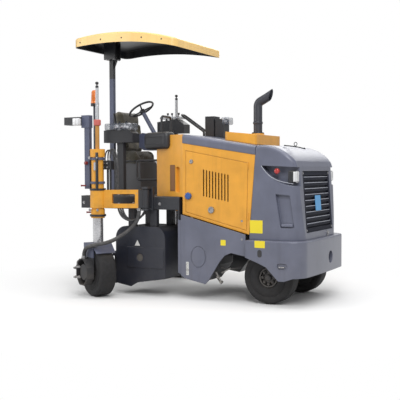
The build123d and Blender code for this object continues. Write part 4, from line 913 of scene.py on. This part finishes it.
# ---------------------------------------------------------------- seat
class PLANER_OT_seat(Operator):
    """Sprung seat with puffed cloth pads, a shell and piping"""

    bl_idname = "planer.seat"
    bl_label = "Seat"

    def execute(self, context):
        swell = context.scene.planer_sizes.pad_swell
        lean = Matrix.Rotation(math.radians(-8.0), 4, "Y")
        mid = middle_of("seat").y
        # name, middle, size, rounding, turn, bolster's offset, size and rounding
        pads = (
            ("seat_cushion", (-1.045, mid, 1.605), (0.28, 0.45, 0.145), 0.045, Matrix(),
             (0.0, 0.178, 0.042), (0.25, 0.07, 0.085), 0.03),
            ("seat_back", (-1.165, mid, 1.94), (0.085, 0.45, 0.53), 0.04, lean,
             (0.025, 0.165, -0.06), (0.09, 0.08, 0.34), 0.034),
        )
        for name, middle, size, rounding, turn, offset, bolster, bolster_rounding in pads:
            bm = bmesh.new()
            block(bm, middle, size, rounding, steps=4, turn=turn)
            for hand in (-1, 1):
                place = (middle[0] + offset[0], middle[1] + hand * offset[1], middle[2] + offset[2])
                block(bm, place, bolster, bolster_rounding, steps=3, turn=turn)
            pad = piece(name, "chassis", bm, "seat", sharp=180.0)
            self.puff(context, pad, swell)
            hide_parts("seat")
        bm = bmesh.new()
        block(bm, (-1.05, mid, 1.572), (0.29, 0.44, 0.022), 0.008)
        block(bm, (-1.222, mid, 1.9), (0.02, 0.41, 0.56), 0.008, turn=lean)
        for hand in (-1, 1):
            rod(bm, (-1.2, mid + hand * 0.18, 1.58), (-1.215, mid + hand * 0.18, 1.72), 0.012)
        shell = piece("seat_shell", "chassis", bm, "black")
        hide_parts("seat")
        bm = bmesh.new()
        for height in (1.80, 1.90, 2.0):
            back_x = -1.118 - (height - 1.925) * 0.14
            hose(bm, [(back_x, mid - 0.12, height), (back_x + 0.006, mid, height),
                      (back_x, mid + 0.12, height)], 0.0035, sides=8, fine=8)
        for place in (-1.12, -1.05, -0.98):
            hose(bm, [(place, mid - 0.13, 1.684), (place, mid, 1.69), (place, mid + 0.13, 1.684)],
                 0.0035, sides=8, fine=8)
        piece("seat_piping", "chassis", bm, "black")
        return {"FINISHED"}

    def puff(self, context, pad, swell):
        """Even out a pad's mesh, puff it up by no more than the swell and round it off."""
        modifier = pad.modifiers.new("even", "REMESH")
        modifier.mode = "VOXEL"
        modifier.voxel_size = 0.006
        bpy.context.view_layer.objects.active = pad
        self.settle(context, pad, "even")
        start = [vert.co.copy() for vert in pad.data.vertices]
        inflated = pad.modifiers.new("puff", "CLOTH")
        inflated.settings.use_pressure = True
        inflated.settings.uniform_pressure_force = 4.0
        inflated.settings.effector_weights.gravity = 0.0
        inflated.settings.quality = 6
        for step in range(1, 21):
            context.scene.frame_set(step)
        self.settle(context, pad, "puff")
        context.scene.frame_set(1)
        for vert, was in zip(pad.data.vertices, start):
            move = vert.co - was
            if move.length > swell:
                vert.co = was + move.normalized() * swell
        rounder = pad.modifiers.new("round", "SUBSURF")
        rounder.levels = rounder.render_levels = 1
        self.settle(context, pad, "round")
        pad.data.shade_smooth()

    def settle(self, context, pad, name):
        """Apply one modifier of the pad."""
        with context.temp_override(object=pad, active_object=pad, selected_objects=[pad]):
            bpy.ops.object.modifier_apply(modifier=name)


# ---------------------------------------------------------------- operator's place
class PLANER_OT_wheel(Operator):
    """Steering wheel with a round rim, three spokes and a boss"""

    bl_idname = "planer.wheel"
    bl_label = "Steering wheel"

    def execute(self, context):
        tilt = math.radians(32.0)
        normal = Vector((-math.sin(tilt), 0.0, math.cos(tilt)))
        centre = middle_of("steering_wheel")
        bm = bmesh.new()
        turned(bm, ring_section(0.16, 0.0125, 12), centre, normal, steps=64)
        boss = [(0.0, 0.012), (0.022, 0.012), (0.034, 0.004), (0.038, -0.02), (0.026, -0.045), (0.0, -0.045)]
        turned(bm, boss, centre - normal * 0.02, normal, steps=32)
        side = Vector((0, 1, 0))
        for turn in (90, 210, 330):
            spoke = Matrix.Rotation(math.radians(turn), 3, normal) @ side
            rod(bm, centre - normal * 0.03, centre + spoke * 0.158, 0.011, 12, end_radius=0.008)
        wheel = piece("steering_hand_wheel", "hand_wheel", bm, "black", merge=0.0001)
        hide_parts("steering_wheel")
        return {"FINISHED"}


class PLANER_OT_controls(Operator):
    """Levers, knobs, clear film covers, panel and instrument housing"""

    bl_idname = "planer.controls"
    bl_label = "Controls"

    def execute(self, context):
        bm = bmesh.new()
        for x, y, lean_x in ((-1.06, -0.38, 0.02), (-0.98, -0.36, -0.015), (-0.9, -0.37, 0.01),
                             (-0.74, 0.33, 0.02), (-0.66, 0.35, -0.01), (-0.58, 0.34, 0.015)):
            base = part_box("control_consoles")[1].z - 0.13 if y < 0 else 2.1
            rod(bm, (x, y, base - 0.02), (x, y, base), 0.018, 20, end_radius=0.013)
            rod(bm, (x, y, base), (x + lean_x, y, base + 0.06), 0.005, 12)
            rod(bm, (x + lean_x, y, base + 0.055), (x + lean_x, y, base + 0.082), 0.011, 16, end_radius=0.014)
        for hand in (-1, 1):
            rod(bm, (-0.5, 0.02 + hand * 0.05, 1.92), (-0.5, 0.02 + hand * 0.05, 1.945), 0.012, 16)
        piece("control_levers", "chassis", bm, "black")
        bm = bmesh.new()
        for place, y in ((-1.02, -0.40), (-0.94, -0.405)):
            turned(bm, [(0.0, 0.0), (0.012, 0.0), (0.014, 0.004), (0.012, 0.014), (0.0, 0.016)],
                   (place, y, 1.97), (0, 0, 1), steps=20)
        piece("stop_buttons", "chassis", bm, "knob", merge=0.0001)
        bm = bmesh.new()
        for middle, size in (((-0.97, -0.362, 1.982), (0.38, 0.182, 0.085)),
                             ((-0.66, 0.352, 2.118), (0.3, 0.17, 0.03)),
                             ((0.16, 0.265, 2.05), (0.1, 0.15, 0.09))):
            block(bm, middle, size, 0.018, steps=3)
        bmesh.ops.subdivide_edges(bm, edges=bm.edges, cuts=3, use_grid_fill=True)
        piece("film_covers", "chassis", bm, "film", sharp=60.0)
        bm = bmesh.new()
        plate(bm, (-0.64, -0.14, 1.85), (0.17, 0.07), 0.006, (0, -1, 0.25), 0.01)
        piece("instrument_panel", "chassis", bm, "silver plate")
        bm = bmesh.new()
        flare = Matrix.Rotation(math.radians(-20.9), 4, "Z")
        block(bm, (-0.385, -0.425, 1.8), (0.44, 0.17, 0.2), 0.055, steps=6, turn=flare)
        outer = [face for face in bm.faces if face.normal.y < -0.9 and face.calc_area() > 0.01]
        bmesh.ops.inset_region(bm, faces=outer, thickness=0.012, depth=-0.006)
        piece("instrument_housing", "chassis", bm, "black")
        bm = bmesh.new()
        for place in (-0.62, -0.56):
            turned(bm, [(0.0, 0.004), (0.018, 0.004), (0.023, 0.0), (0.023, -0.01)],
                   (place, -0.142, 1.865), (0, -1, 0), steps=24)
        piece("instrument_bezels", "chassis", bm, "chrome", merge=0.0001)
        return {"FINISHED"}


# ---------------------------------------------------------------- body
def on_grille(y, z, proud=0.0):
    """Place on the leaning face of the grille."""
    return Vector((grille_foot_x - grille_slope * (z - grille_foot_z) + proud, y, z))


class PLANER_OT_grille(Operator):
    """Pale slat edges that are painted highlights, corner screws, blank tag and latch of the grille"""

    bl_idname = "planer.grille"
    bl_label = "Grille"

    def execute(self, context):
        facing = Vector((1.0, 0.0, grille_slope))
        lean = Matrix.Rotation(-math.atan(grille_slope), 4, "Y")
        bm = bmesh.new()
        # Pale strips on the slat lips: painted highlight where light catches them.
        for row in range(9):
            height = 0.869 + row * 0.0632
            block(bm, on_grille(0.0, height, -0.003), (0.008, 0.752, 0.008), 0.002, turn=lean)
        piece("grille_slat_highlights", "chassis", bm, "slat")
        bm = bmesh.new()
        for y in (-0.4, 0.4):
            for height in (0.8, 1.415):
                bolt(bm, on_grille(y, height), facing, 0.018)
        turned(bm, [(0.0, 0.0), (0.02, 0.0), (0.02, 0.012), (0.014, 0.018), (0.0, 0.018)],
               (1.452, 0.226, 0.74), (1, 0, 0), steps=28)
        block(bm, (1.458, 0.226, 0.712), (0.012, 0.034, 0.05), 0.005)
        rod(bm, (1.462, 0.226, 0.72), (1.462, 0.226, 0.756), 0.006, 12)
        piece("grille_screws_and_latch", "chassis", bm, "bolt", merge=0.0001)
        bm = bmesh.new()
        plate(bm, on_grille(0.0, 1.085, 0.002), (0.17, 0.17), 0.004, facing, 0.012)
        piece("grille_blank_tag", "chassis", bm, "tag blue")
        return {"FINISHED"}


class PLANER_OT_lamps(Operator):
    """Headlamp bezels, red side lamps, recess trims and the work lamp"""

    bl_idname = "planer.lamps"
    bl_label = "Lamps"

    def execute(self, context):
        frames, reds, trims, lenses, pods = (bmesh.new() for _ in range(5))
        for hand in (-1, 1):
            block(lenses, (1.376, hand * 0.545, lamp_z), (0.044, 0.096, 0.108), 0.01, steps=3)
            block(pods, (1.335, hand * 0.572, lamp_z), (0.06, 0.066, 0.126), 0.018, steps=4)
            for rise in (-0.058, 0.058):
                block(frames, (1.388, hand * 0.527, lamp_z + rise), (0.012, 0.074, 0.008), 0.002)
            for y in (0.496, 0.558):
                block(frames, (1.388, hand * y, lamp_z), (0.012, 0.008, 0.124), 0.002)
            turned(reds, [(0.0, 0.014), (0.016, 0.012), (0.026, 0.006), (0.03, 0.0), (0.03, -0.012)],
                   (1.175, hand * 0.586, 1.44), (0.25, hand * 0.97, 0.0), steps=32)
            hose(trims, [(1.0, hand * 0.603, 1.498), (1.04, hand * 0.603, 1.44), (1.12, hand * 0.602, 1.37),
                         (1.24, hand * 0.601, 1.322), (1.36, hand * 0.585, 1.306)], 0.004, sides=8, fine=12)
        piece("headlamp_bezels", "chassis", frames, "chrome")
        piece("headlamp_lenses", "chassis", lenses, "white lens")
        piece("headlamp_pods", "chassis", pods, "black")
        piece("side_lamps", "chassis", reds, "red lens", merge=0.0001)
        piece("recess_trims", "chassis", trims, "silver plate")
        bm = bmesh.new()
        block(bm, (-1.188, -0.955, 2.02), (0.1, 0.05, 0.085), 0.012, steps=3)
        piece("work_lamp_lens", "swing_arm", bm, "white lens")
        bm = bmesh.new()
        rows = [(0.0, 0.158), (0.02, 0.156), (0.03, 0.15)]
        for row in range(10):
            widened, lowered = 0.0006 * row, 0.0125 * row
            rows += [(0.0385 + widened, 0.142 - lowered), (0.0418 + widened, 0.136 - lowered)]
        rows.append((0.05, 0.0))
        pole = middle_of("beacon")
        turned(bm, rows, (pole.x, pole.y, 2.264), (0, 0, 1), steps=40)
        piece("beacon_lens", "chassis", bm, "amber lens", merge=0.0001)
        return {"FINISHED"}


class PLANER_OT_hood(Operator):
    """Filler cap, fitting, latches and hinges of the hood, and the painted shade of its slots"""

    bl_idname = "planer.hood"
    bl_label = "Hood fittings"

    def execute(self, context):
        sides = ((-1, "right"), (1, "left"))
        bm = bmesh.new()
        cap_x, cap_z = 0.105, 1.162
        turned(bm, [(0.0, 0.03), (0.03, 0.03), (0.036, 0.024), (0.036, 0.0)],
               (cap_x, -hood_side, cap_z), (0, -1, 0), steps=24)
        for turn in range(8):
            angle = turn * math.pi / 4
            x, z = cap_x + 0.036 * math.cos(angle), cap_z + 0.036 * math.sin(angle)
            rod(bm, (x, -hood_side - 0.004, z), (x, -hood_side - 0.028, z), 0.005, 8)
        piece("filler_cap", "right_door", bm, "blue", merge=0.0001)
        lock = [(0.0, 0.004), (0.012, 0.004), (0.016, 0.01), (0.022, 0.01), (0.025, 0.0)]
        handle = [(0.0, 0.014), (0.02, 0.014), (0.024, 0.02), (0.034, 0.02), (0.038, 0.012), (0.038, 0.0)]
        for hand, side in sides:
            bm = bmesh.new()
            if side == "right":
                turned(bm, handle, (0.395, -hood_side, 1.01), (0, -1, 0), steps=32)
            for z in (0.9, 1.55):
                turned(bm, lock, (0.14, hand * hood_side, z), (0, hand, 0), steps=24)
            piece(f"door_locks_{side}", f"{side}_door", bm, "bolt", merge=0.0001)
        for hand, side in sides:
            bm = bmesh.new()
            for z in (0.95, 1.5):
                rod(bm, (0.845, hand * 0.603, z - 0.04), (0.845, hand * 0.603, z + 0.04), 0.006, 16)
            piece(f"door_hinges_{side}", f"{side}_door", bm, "yellow")
        bm = bmesh.new()
        # Brown plates on the tail's slanting faces: painted shade of the slots.
        for hand in (-1, 1):
            plate(bm, (-0.14, hand * 0.54, 1.365), (0.088, 0.3), 0.003, (-0.357, hand * 0.934, 0.0), 0.01)
        piece("tail_slot_shades", "chassis", bm, "slot shade")
        bm = bmesh.new()
        for hand in (-1, 1):
            block(bm, (1.293, hand * 0.588, 0.862), (0.13, 0.03, 0.036), 0.014, steps=4)
        piece("nose_scoop_lips", "chassis", bm, "grey")
        bm = bmesh.new()
        hose(bm, [(1.13, -0.28, 1.722), (1.2, -0.27, 1.716), (1.3, -0.26, 1.7), (1.37, -0.26, 1.68)],
             0.006, sides=10, fine=10)
        for x, z in ((1.14, 1.718), (1.36, 1.684)):
            bolt(bm, (x, -0.268, z), (0, 0, 1), 0.018)
        turned(bm, ring_section(0.02, 0.004, 8), (1.26, -0.266, 1.735), (0.3, 1, 0), steps=28)
        piece("nose_pull_ring", "chassis", bm, "black", merge=0.0001)
        return {"FINISHED"}


class PLANER_OT_plates(Operator):
    """Blank plates, warning triangle and depth scale"""

    bl_idname = "planer.plates"
    bl_label = "Blank plates"

    def execute(self, context):
        # name, body, middle, size, side it faces, finish
        for name, body, middle, size, hand, key in (
            ("nose_plate_upper", "chassis", (0.942, -0.604, 0.84), (0.15, 0.14), -1, "yellow plate"),
            ("nose_plate_lower", "chassis", (1.03, -bumper_side, 0.662), (0.12, 0.075), -1, "yellow plate"),
            ("skirt_plate", "chassis", (0.562, -skirt_side, 0.655), (0.062, 0.062), -1, "yellow plate"),
            ("arm_plate", "swing_arm", (-0.9, -0.989, 1.5), (0.05, 0.09), -1, "silver plate"),
            ("left_skirt_plate", "chassis", (0.5, skirt_side, 0.66), (0.06, 0.06), 1, "yellow plate"),
        ):
            bm = bmesh.new()
            plate(bm, middle, size, 0.002, (0, hand, 0), 0.006)
            piece(name, body, bm, key)
        bm = bmesh.new()
        rod(bm, (-0.554, -0.653, 0.598), (-0.554, -0.6555, 0.598), 0.044, 3)
        piece("warning_triangle", "chassis", bm, "white plate")
        bm = bmesh.new()
        plate(bm, (0.111, -skirt_side, 0.346), (0.034, 0.15), 0.003, (0, -1, 0), 0.004)
        piece("depth_scale", "chassis", bm, "white plate")
        bm = bmesh.new()
        for tick in range(9):
            x, length = (0.104, 0.012) if tick % 2 else (0.108, 0.02)
            block(bm, (x, -skirt_side - 0.004, 0.288 + tick * 0.0145), (length, 0.0015, 0.0025))
        block(bm, (0.111, -0.65, 0.33), (0.04, 0.003, 0.006), 0.001)
        piece("depth_ticks", "chassis", bm, "black")
        return {"FINISHED"}


class PLANER_OT_skirts(Operator):
    """Tie-down eyes and fixing screws of the skirts, hoses and links in the arches, and black ovals of
    painted shade on the bumper
    """

    bl_idname = "planer.skirts"
    bl_label = "Skirt and bumper fittings"

    def execute(self, context):
        size = context.scene.planer_sizes.bolt_width
        bm = bmesh.new()
        for hand in (-1, 1):
            for z in (0.9, 0.7):
                bolt(bm, (0.79, hand * skirt_side, z), (0, hand, 0), size * 0.6)
            rod(bm, (1.245, hand * 0.69, 0.43), (1.31, hand * 0.69, 0.43), 0.009, 16)
            hose(bm, [(1.245, hand * 0.69, 0.43), (1.245, hand * 0.715, 0.43), (1.278, hand * 0.717, 0.43),
                      (1.31, hand * 0.715, 0.43), (1.31, hand * 0.69, 0.43)], 0.007, sides=10, fine=8)
        piece("skirt_fixings", "chassis", bm, "bolt")
        bm = bmesh.new()
        for hand in (-1, 1):
            hose(bm, [(0.36, hand * 0.5, 0.44), (0.38, hand * 0.52, 0.32), (0.42, hand * 0.5, 0.24),
                      (0.47, hand * 0.5, 0.18)], 0.012, fine=10)
            hose(bm, [(0.3, hand * 0.48, 0.52), (0.42, hand * 0.5, 0.38), (0.52, hand * 0.47, 0.33),
                      (0.66, hand * 0.4, 0.36)], 0.01, fine=10)
        piece("arch_hoses", "chassis", bm, "hose")
        bm = bmesh.new()
        # Flat black ovals on the bumper's sides: painted shade where the holes are.
        for hand in (-1, 1):
            plate(bm, (1.028, hand * bumper_side, 0.563), (0.05, 0.08), 0.002, (0, hand, 0), 0.024)
        piece("bumper_drain_holes", "chassis", bm, "black")
        bm = bmesh.new()
        for hand in (-1, 1):
            rod(bm, (0.4, hand * 0.51, 0.31), (0.47, hand * 0.51, 0.2), 0.009, 12)
            for x, z in ((0.4, 0.31), (0.435, 0.255), (0.47, 0.2)):
                rod(bm, (x, hand * 0.49, z), (x, hand * 0.535, z), 0.014, 16)
            rod(bm, (0.47, hand * 0.5, 0.3), (0.58, hand * 0.5, 0.36), 0.008, 12)
        piece("arch_links", "chassis", bm, "steel")
        return {"FINISHED"}


class PLANER_OT_columns(Operator):
    """Guide strips, valve fittings, hoses, knobs and pins on the leg columns"""

    bl_idname = "planer.columns"
    bl_label = "Column fittings"

    def execute(self, context):
        size = context.scene.planer_sizes.bolt_width
        bm = bmesh.new()
        for x in (-0.79, -0.82, -0.86):
            turned(bm, [(0.0, 0.03), (0.008, 0.03), (0.008, 0.01), (0.013, 0.01), (0.013, 0.0)],
                   (x, -0.855, 1.564), (0, 0, 1), steps=18)
        for z in (1.49, 1.535):
            for x in (-0.9, -0.85, -0.8):
                rod(bm, (x, -0.89, z), (x, -0.905, z), 0.011, 6)
        piece("valve_fittings", "swing_arm", bm, "bolt", merge=0.0001)
        bm = bmesh.new()
        for index, x in enumerate((-0.86, -0.82, -0.79)):
            hose(bm, [(x, -0.855, 1.594), (x, -0.855, 1.66 + index * 0.02), (x + 0.06, -0.85, 1.7),
                      (-0.74 + index * 0.02, -0.84, 1.6), (-0.735 + index * 0.02, -0.83, 1.4),
                      (-0.74 + index * 0.018, -0.83, 1.232)], 0.0085, fine=10)
        for index in range(3):
            hose(bm, [(-0.72 + index * 0.03, -0.8, 1.02), (-0.7 + index * 0.03, -0.8, 0.93),
                      (-0.6, -0.74 + index * 0.03, 0.86), (-0.52, -0.66 + index * 0.02, 0.9),
                      (-0.46, -0.64, 0.95 + index * 0.02), (-0.44, -0.6, 1.0)], 0.011, fine=10)
        piece("column_hoses", "swing_arm", bm, "hose")
        for side, hand, y, body in (("right", -1, right_leg_y, "swing_arm"),
                                    ("left", 1, left_leg_y, "chassis")):
            bm = bmesh.new()
            block(bm, (leg_x + 0.05, y + hand * 0.083, 1.45), (0.03, 0.02, 0.42), 0.004)
            for z in (0.935, 1.235):
                turned(bm, [(0.089, -0.012), (0.094, -0.012), (0.094, 0.012), (0.089, 0.012)],
                       (leg_x, y, z), (0, 0, 1), steps=40)
            piece(f"column_bands_{side}", body, bm, "black", merge=0.0001)
        bm = bmesh.new()
        rod(bm, (-1.1, -0.89, 1.54), (-1.06, -0.9, 1.54), 0.008, 12)
        turned(bm, [(0.0, 0.0), (0.018, 0.0), (0.022, 0.012), (0.018, 0.03), (0.0, 0.034)],
               (-1.075, -0.915, 1.54), (-0.3, -1, 0), steps=24)
        stud = [(0.0, 0.0), (0.009, 0.0), (0.009, 0.05), (0.013, 0.056), (0.0, 0.062)]
        for x, z in ((-1.077, 1.278), (-1.0, 0.97)):
            turned(bm, stud, (x, -0.94, z), (-1, -0.3, 0), steps=20)
        piece("column_knobs", "swing_arm", bm, "knob", merge=0.0001)
        bm = bmesh.new()
        turned(bm, stud, (-1.0, -0.94, 0.585), (-1, -0.3, 0), steps=20)
        piece("leg_knob", "right_leg", bm, "knob", merge=0.0001)
        bm = bmesh.new()
        for x, z in ((-0.7, 1.06), (-0.7, 1.19), (-0.5, 1.06), (-0.5, 1.19)):
            bolt(bm, (x, right_leg_y + (x - leg_x) * 0.35, z), (0, -1, 0), size)
        for z in (1.0, 1.6):
            for x in (-0.99, -0.88):
                bolt(bm, (x, -0.984, z), (0, -1, 0), size * 0.8)
        piece("arm_bolts", "swing_arm", bm, "bolt")
        return {"FINISHED"}


class PLANER_OT_roof(Operator):
    """Canopy screws, post bolts and the gauge rods above the columns"""

    bl_idname = "planer.roof"
    bl_label = "Canopy fittings"

    def execute(self, context):
        bm = bmesh.new()
        for hand in (-1, 1):
            for x, z in ((-1.403, 3.005), (-1.1, 3.02), (-0.8, 3.015), (-0.522, 2.996), (-0.25, 2.955)):
                bolt(bm, (x, hand * 0.5935, z), (0, hand, 0), 0.011)
        for y in (-0.4, 0.0, 0.4):
            bolt(bm, (-1.5135, y, 3.0), (-1, 0, 0), 0.011)
        piece("canopy_screws", "chassis", bm, "black")
        bm = bmesh.new()
        for x in (-1.38, -1.28):
            for y in (-0.06, 0.06):
                bolt(bm, (x, y, 2.862), (0, 0, -1), 0.02)
        for hand in (-1, 1):
            for x in (-1.385, -1.29):
                bolt(bm, (x, hand * 0.07, deck_top), (0, 0, 1), 0.022)
        piece("post_bolts", "chassis", bm, "bolt")
        tube = [(0.0, 1.7), (0.024, 1.7), (0.024, 1.968), (0.036, 1.972), (0.042, 1.98), (0.042, 2.032),
                (0.036, 2.04), (0.021, 2.042), (0.021, 2.2), (0.0185, 2.203), (0.0185, 2.43), (0.006, 2.433),
                (0.006, 2.44), (0.017, 2.448), (0.021, 2.459), (0.017, 2.472), (0.0, 2.478)]
        for side, y, body in (("right", right_leg_y, "swing_arm"), ("left", left_leg_y, "chassis")):
            bm = bmesh.new()
            turned(bm, tube, (leg_x, y, 0.0), (0, 0, 1), steps=32)
            made = piece(f"gauge_tube_{side}", body, bm, "gauge rod", merge=0.0001)
            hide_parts(f"gauge_rod_{side}")
        return {"FINISHED"}


class PLANER_OT_exhaust(Operator):
    """Smooth exhaust pipe with a slanting mouth, clamp and base flange"""

    bl_idname = "planer.exhaust"
    bl_label = "Exhaust"

    def execute(self, context):
        route = [(pipe_x, pipe_y, z) for z in (1.87, 2.0, 2.12, 2.22)]
        route += [(0.82, pipe_y, 2.257), (0.995, pipe_y, 2.358)]
        bm = bmesh.new()
        hose(bm, route, 0.05, sides=36, fine=20)
        caps = [face for face in bm.faces if len(face.verts) > 4]
        bmesh.ops.delete(bm, geom=caps, context="FACES_ONLY")
        bmesh.ops.bisect_plane(bm, geom=bm.verts[:] + bm.edges[:] + bm.faces[:], dist=0.00001,
                               plane_co=(0.895, pipe_y, 2.3), plane_no=(0.97, 0.0, -0.24), clear_outer=True)
        bmesh.ops.recalc_face_normals(bm, faces=bm.faces)
        bmesh.ops.solidify(bm, geom=bm.faces[:], thickness=0.005)
        for low, wide, tall in ((1.868, 0.021, 0.009), (1.978, 0.006, 0.024)):
            collar = [(0.0495, 0.0), (0.05 + wide, 0.0), (0.05 + wide, tall), (0.0495, tall), (0.0495, 0.0)]
            turned(bm, collar, (pipe_x, pipe_y, low), (0, 0, 1), steps=40)
        for turn in range(4):
            angle = math.radians(45 + 90 * turn)
            place = (pipe_x + 0.06 * math.cos(angle), pipe_y + 0.06 * math.sin(angle), 1.877)
            bolt(bm, place, (0, 0, 1), 0.014, washer=False)
        pipe = piece("exhaust_pipe", "chassis", bm, "exhaust", merge=0.0001)
        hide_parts("exhaust_stack")
        return {"FINISHED"}


class PLANER_OT_deck(Operator):
    """Tread pattern and side bolts of the operator's deck"""

    bl_idname = "planer.deck"
    bl_label = "Deck"

    def execute(self, context):
        bm = bmesh.new()
        for row in range(12):
            for column in range(10):
                x, y = -1.36 + row * 0.078, -0.54 + column * 0.118
                under_seat = -1.25 < x < -0.85 and -0.2 < y < 0.4
                under_post = -1.42 < x < -1.24 and abs(y) < 0.14
                if under_seat or under_post:
                    continue
                turn = Matrix.Rotation(math.radians(45 if (row + column) % 2 else -45), 4, "Z")
                block(bm, (x, y, deck_top + 0.0012), (0.036, 0.009, 0.0028), 0.001, steps=1, turn=turn)
        piece("deck_tread", "chassis", bm, "deck")
        bm = bmesh.new()
        for x in (-1.36, -1.0, -0.64, -0.28):
            for hand in (-1, 1):
                bolt(bm, (x, hand * deck_side, 1.065), (0, hand, 0), 0.022)
        piece("rail_bolts", "chassis", bm, "bolt")
        return {"FINISHED"}


# ---------------------------------------------------------------- stage
class PLANER_OT_stage(Operator):
    """Lay the floor and backdrop, hang the soft lights and set the camera"""

    bl_idname = "planer.stage"
    bl_label = "Stage"

    def execute(self, context):
        self.lay_floor(context)
        self.light_world(context)
        self.hang_lights(context)
        self.place_camera(context)
        context.scene.view_settings.view_transform = "Standard"
        return {"FINISHED"}

    def lay_floor(self, context):
        """Pale floor that takes the shadow and fades to white away from the machine."""
        pale, tree, shader = new_material("studio floor")
        rays = tree.nodes.new("ShaderNodeLightPath").outputs
        bounced = maths(tree, "MAXIMUM", rays["Is Glossy Ray"], rays["Is Transmission Ray"])
        seen = maths(tree, "MAXIMUM", rays["Is Camera Ray"], bounced)
        shade = blend_colour(tree, seen, (0.42, 0.42, 0.42), (0.86, 0.86, 0.86))
        tree.links.new(shade, shader.inputs["Base Color"])
        shader.inputs["Roughness"].default_value = 0.95
        shader.inputs["Specular IOR Level"].default_value = 0.1
        away = add_node(tree, "ShaderNodeVectorMath", [(0, object_place(tree))], operation="LENGTH")
        share = maths(tree, "MULTIPLY", seen, remap(tree, away.outputs["Value"], 1.9, 3.6))
        white = add_node(tree, "ShaderNodeEmission")
        white.inputs["Strength"].default_value = 1.0
        faded = add_node(tree, "ShaderNodeMixShader",
                         [(0, share), (1, shader.outputs[0]), (2, white.outputs[0])])
        tree.links.new(faded.outputs[0], tree.nodes["Material Output"].inputs["Surface"])
        bm = bmesh.new()
        bmesh.ops.create_grid(bm, x_segments=1, y_segments=1, size=30.0,
                              matrix=Matrix.Translation((0, 0, -0.004)))
        mesh = bpy.data.meshes.new("floor")
        bm.to_mesh(mesh)
        bm.free()
        mesh.materials.append(pale)
        floor = bpy.data.objects.new("floor", mesh)
        context.scene.collection.objects.link(floor)

    def light_world(self, context):
        """Even white light from all round, brighter where the camera sees it."""
        world = bpy.data.worlds.new("studio")
        context.scene.world = world
        world.use_nodes = True
        tree = world.node_tree
        around = tree.nodes["Background"]
        around.inputs["Color"].default_value = (1.0, 1.0, 1.0, 1.0)
        seen = tree.nodes.new("ShaderNodeLightPath").outputs["Is Camera Ray"]
        strength = blend_value(tree, seen, context.scene.planer_lights.sky, 1.0)
        tree.links.new(strength, around.inputs["Strength"])

    def hang_lights(self, context):
        """Four square soft lights."""
        light = context.scene.planer_lights
        # name, place, aim, width, power
        for name, place, aim, size, power in (
            ("key", (4.5, -6.5, 6.5), (0.2, -0.2, 1.2), 4.0, light.key),
            ("fill", (-6.5, -5.0, 4.0), (-0.2, 0.0, 1.2), 5.0, light.fill),
            ("top", (0.8, -0.6, 7.5), (0.2, 0.0, 1.5), 5.0, light.top),
            ("back", (-1.0, 7.0, 6.0), (0.0, 0.0, 1.4), 5.0, light.fill),
        ):
            lamp = bpy.data.lights.new(name, "AREA")
            lamp.size = size
            lamp.energy = power
            holder = bpy.data.objects.new(name, lamp)
            holder.location = place
            holder.rotation_euler = (Vector(aim) - Vector(place)).to_track_quat("-Z", "Y").to_euler()
            context.scene.collection.objects.link(holder)

    def place_camera(self, context):
        """Camera to the machine's right and ahead, from its heading, dip and roll."""
        eye = bpy.data.cameras.new("camera")
        eye.lens, eye.sensor_width = 70.19, 36.0
        camera = bpy.data.objects.new("camera", eye)
        heading, dip, roll = math.radians(28.565), math.radians(2.1904), math.radians(-0.196)
        forward = Vector((-math.sin(heading), math.cos(heading), 0.0))
        level = Vector((math.cos(heading), math.sin(heading), 0.0))
        ahead = forward * math.cos(dip) - Vector((0, 0, 1)) * math.sin(dip)
        above = Vector((0, 0, 1)) * math.cos(dip) + forward * math.sin(dip)
        right = level * math.cos(roll) + above * math.sin(roll)
        up = above * math.cos(roll) - level * math.sin(roll)
        turn = Matrix((right, up, -ahead)).transposed().to_4x4()
        camera.matrix_world = Matrix.Translation((4.426, -8.271, 1.453)) @ turn
        context.scene.collection.objects.link(camera)
        context.scene.camera = camera


# ---------------------------------------------------------------- panel
steps = [
    PLANER_OT_groups, PLANER_OT_finishes, PLANER_OT_tyres, PLANER_OT_hubs, PLANER_OT_motor,
    PLANER_OT_seat, PLANER_OT_wheel, PLANER_OT_controls, PLANER_OT_grille, PLANER_OT_lamps,
    PLANER_OT_hood, PLANER_OT_plates, PLANER_OT_skirts, PLANER_OT_columns, PLANER_OT_roof,
    PLANER_OT_exhaust, PLANER_OT_deck, PLANER_OT_stage,
]


class PLANER_PT_panel(Panel):
    """Steps that dress the planer"""

    bl_idname = "PLANER_PT_panel"
    bl_label = "Cold planer"
    bl_space_type = "VIEW_3D"
    bl_region_type = "UI"
    bl_category = "Planer"

    def draw(self, context):
        for group in ("planer_colours", "planer_sizes", "planer_lights"):
            holder = getattr(context.scene, group)
            box = self.layout.box()
            for name in holder.bl_rna.properties.keys():
                if name not in ("rna_type", "name"):
                    box.prop(holder, name)
        for step in steps:
            self.layout.operator(step.bl_idname)


classes = [PlanerColours, PlanerSizes, PlanerLights, *steps, PLANER_PT_panel]


def register():
    for item in classes:
        bpy.utils.register_class(item)
    bpy.types.Scene.planer_colours = PointerProperty(type=PlanerColours)
    bpy.types.Scene.planer_sizes = PointerProperty(type=PlanerSizes)
    bpy.types.Scene.planer_lights = PointerProperty(type=PlanerLights)


def unregister():
    for name in ("planer_colours", "planer_sizes", "planer_lights"):
        delattr(bpy.types.Scene, name)
    for item in reversed(classes):
        bpy.utils.unregister_class(item)


def main():
    register()
    for step in steps:
        family, action = step.bl_idname.split(".")
        getattr(getattr(bpy.ops, family), action)()


if __name__ == "__main__":
    main()
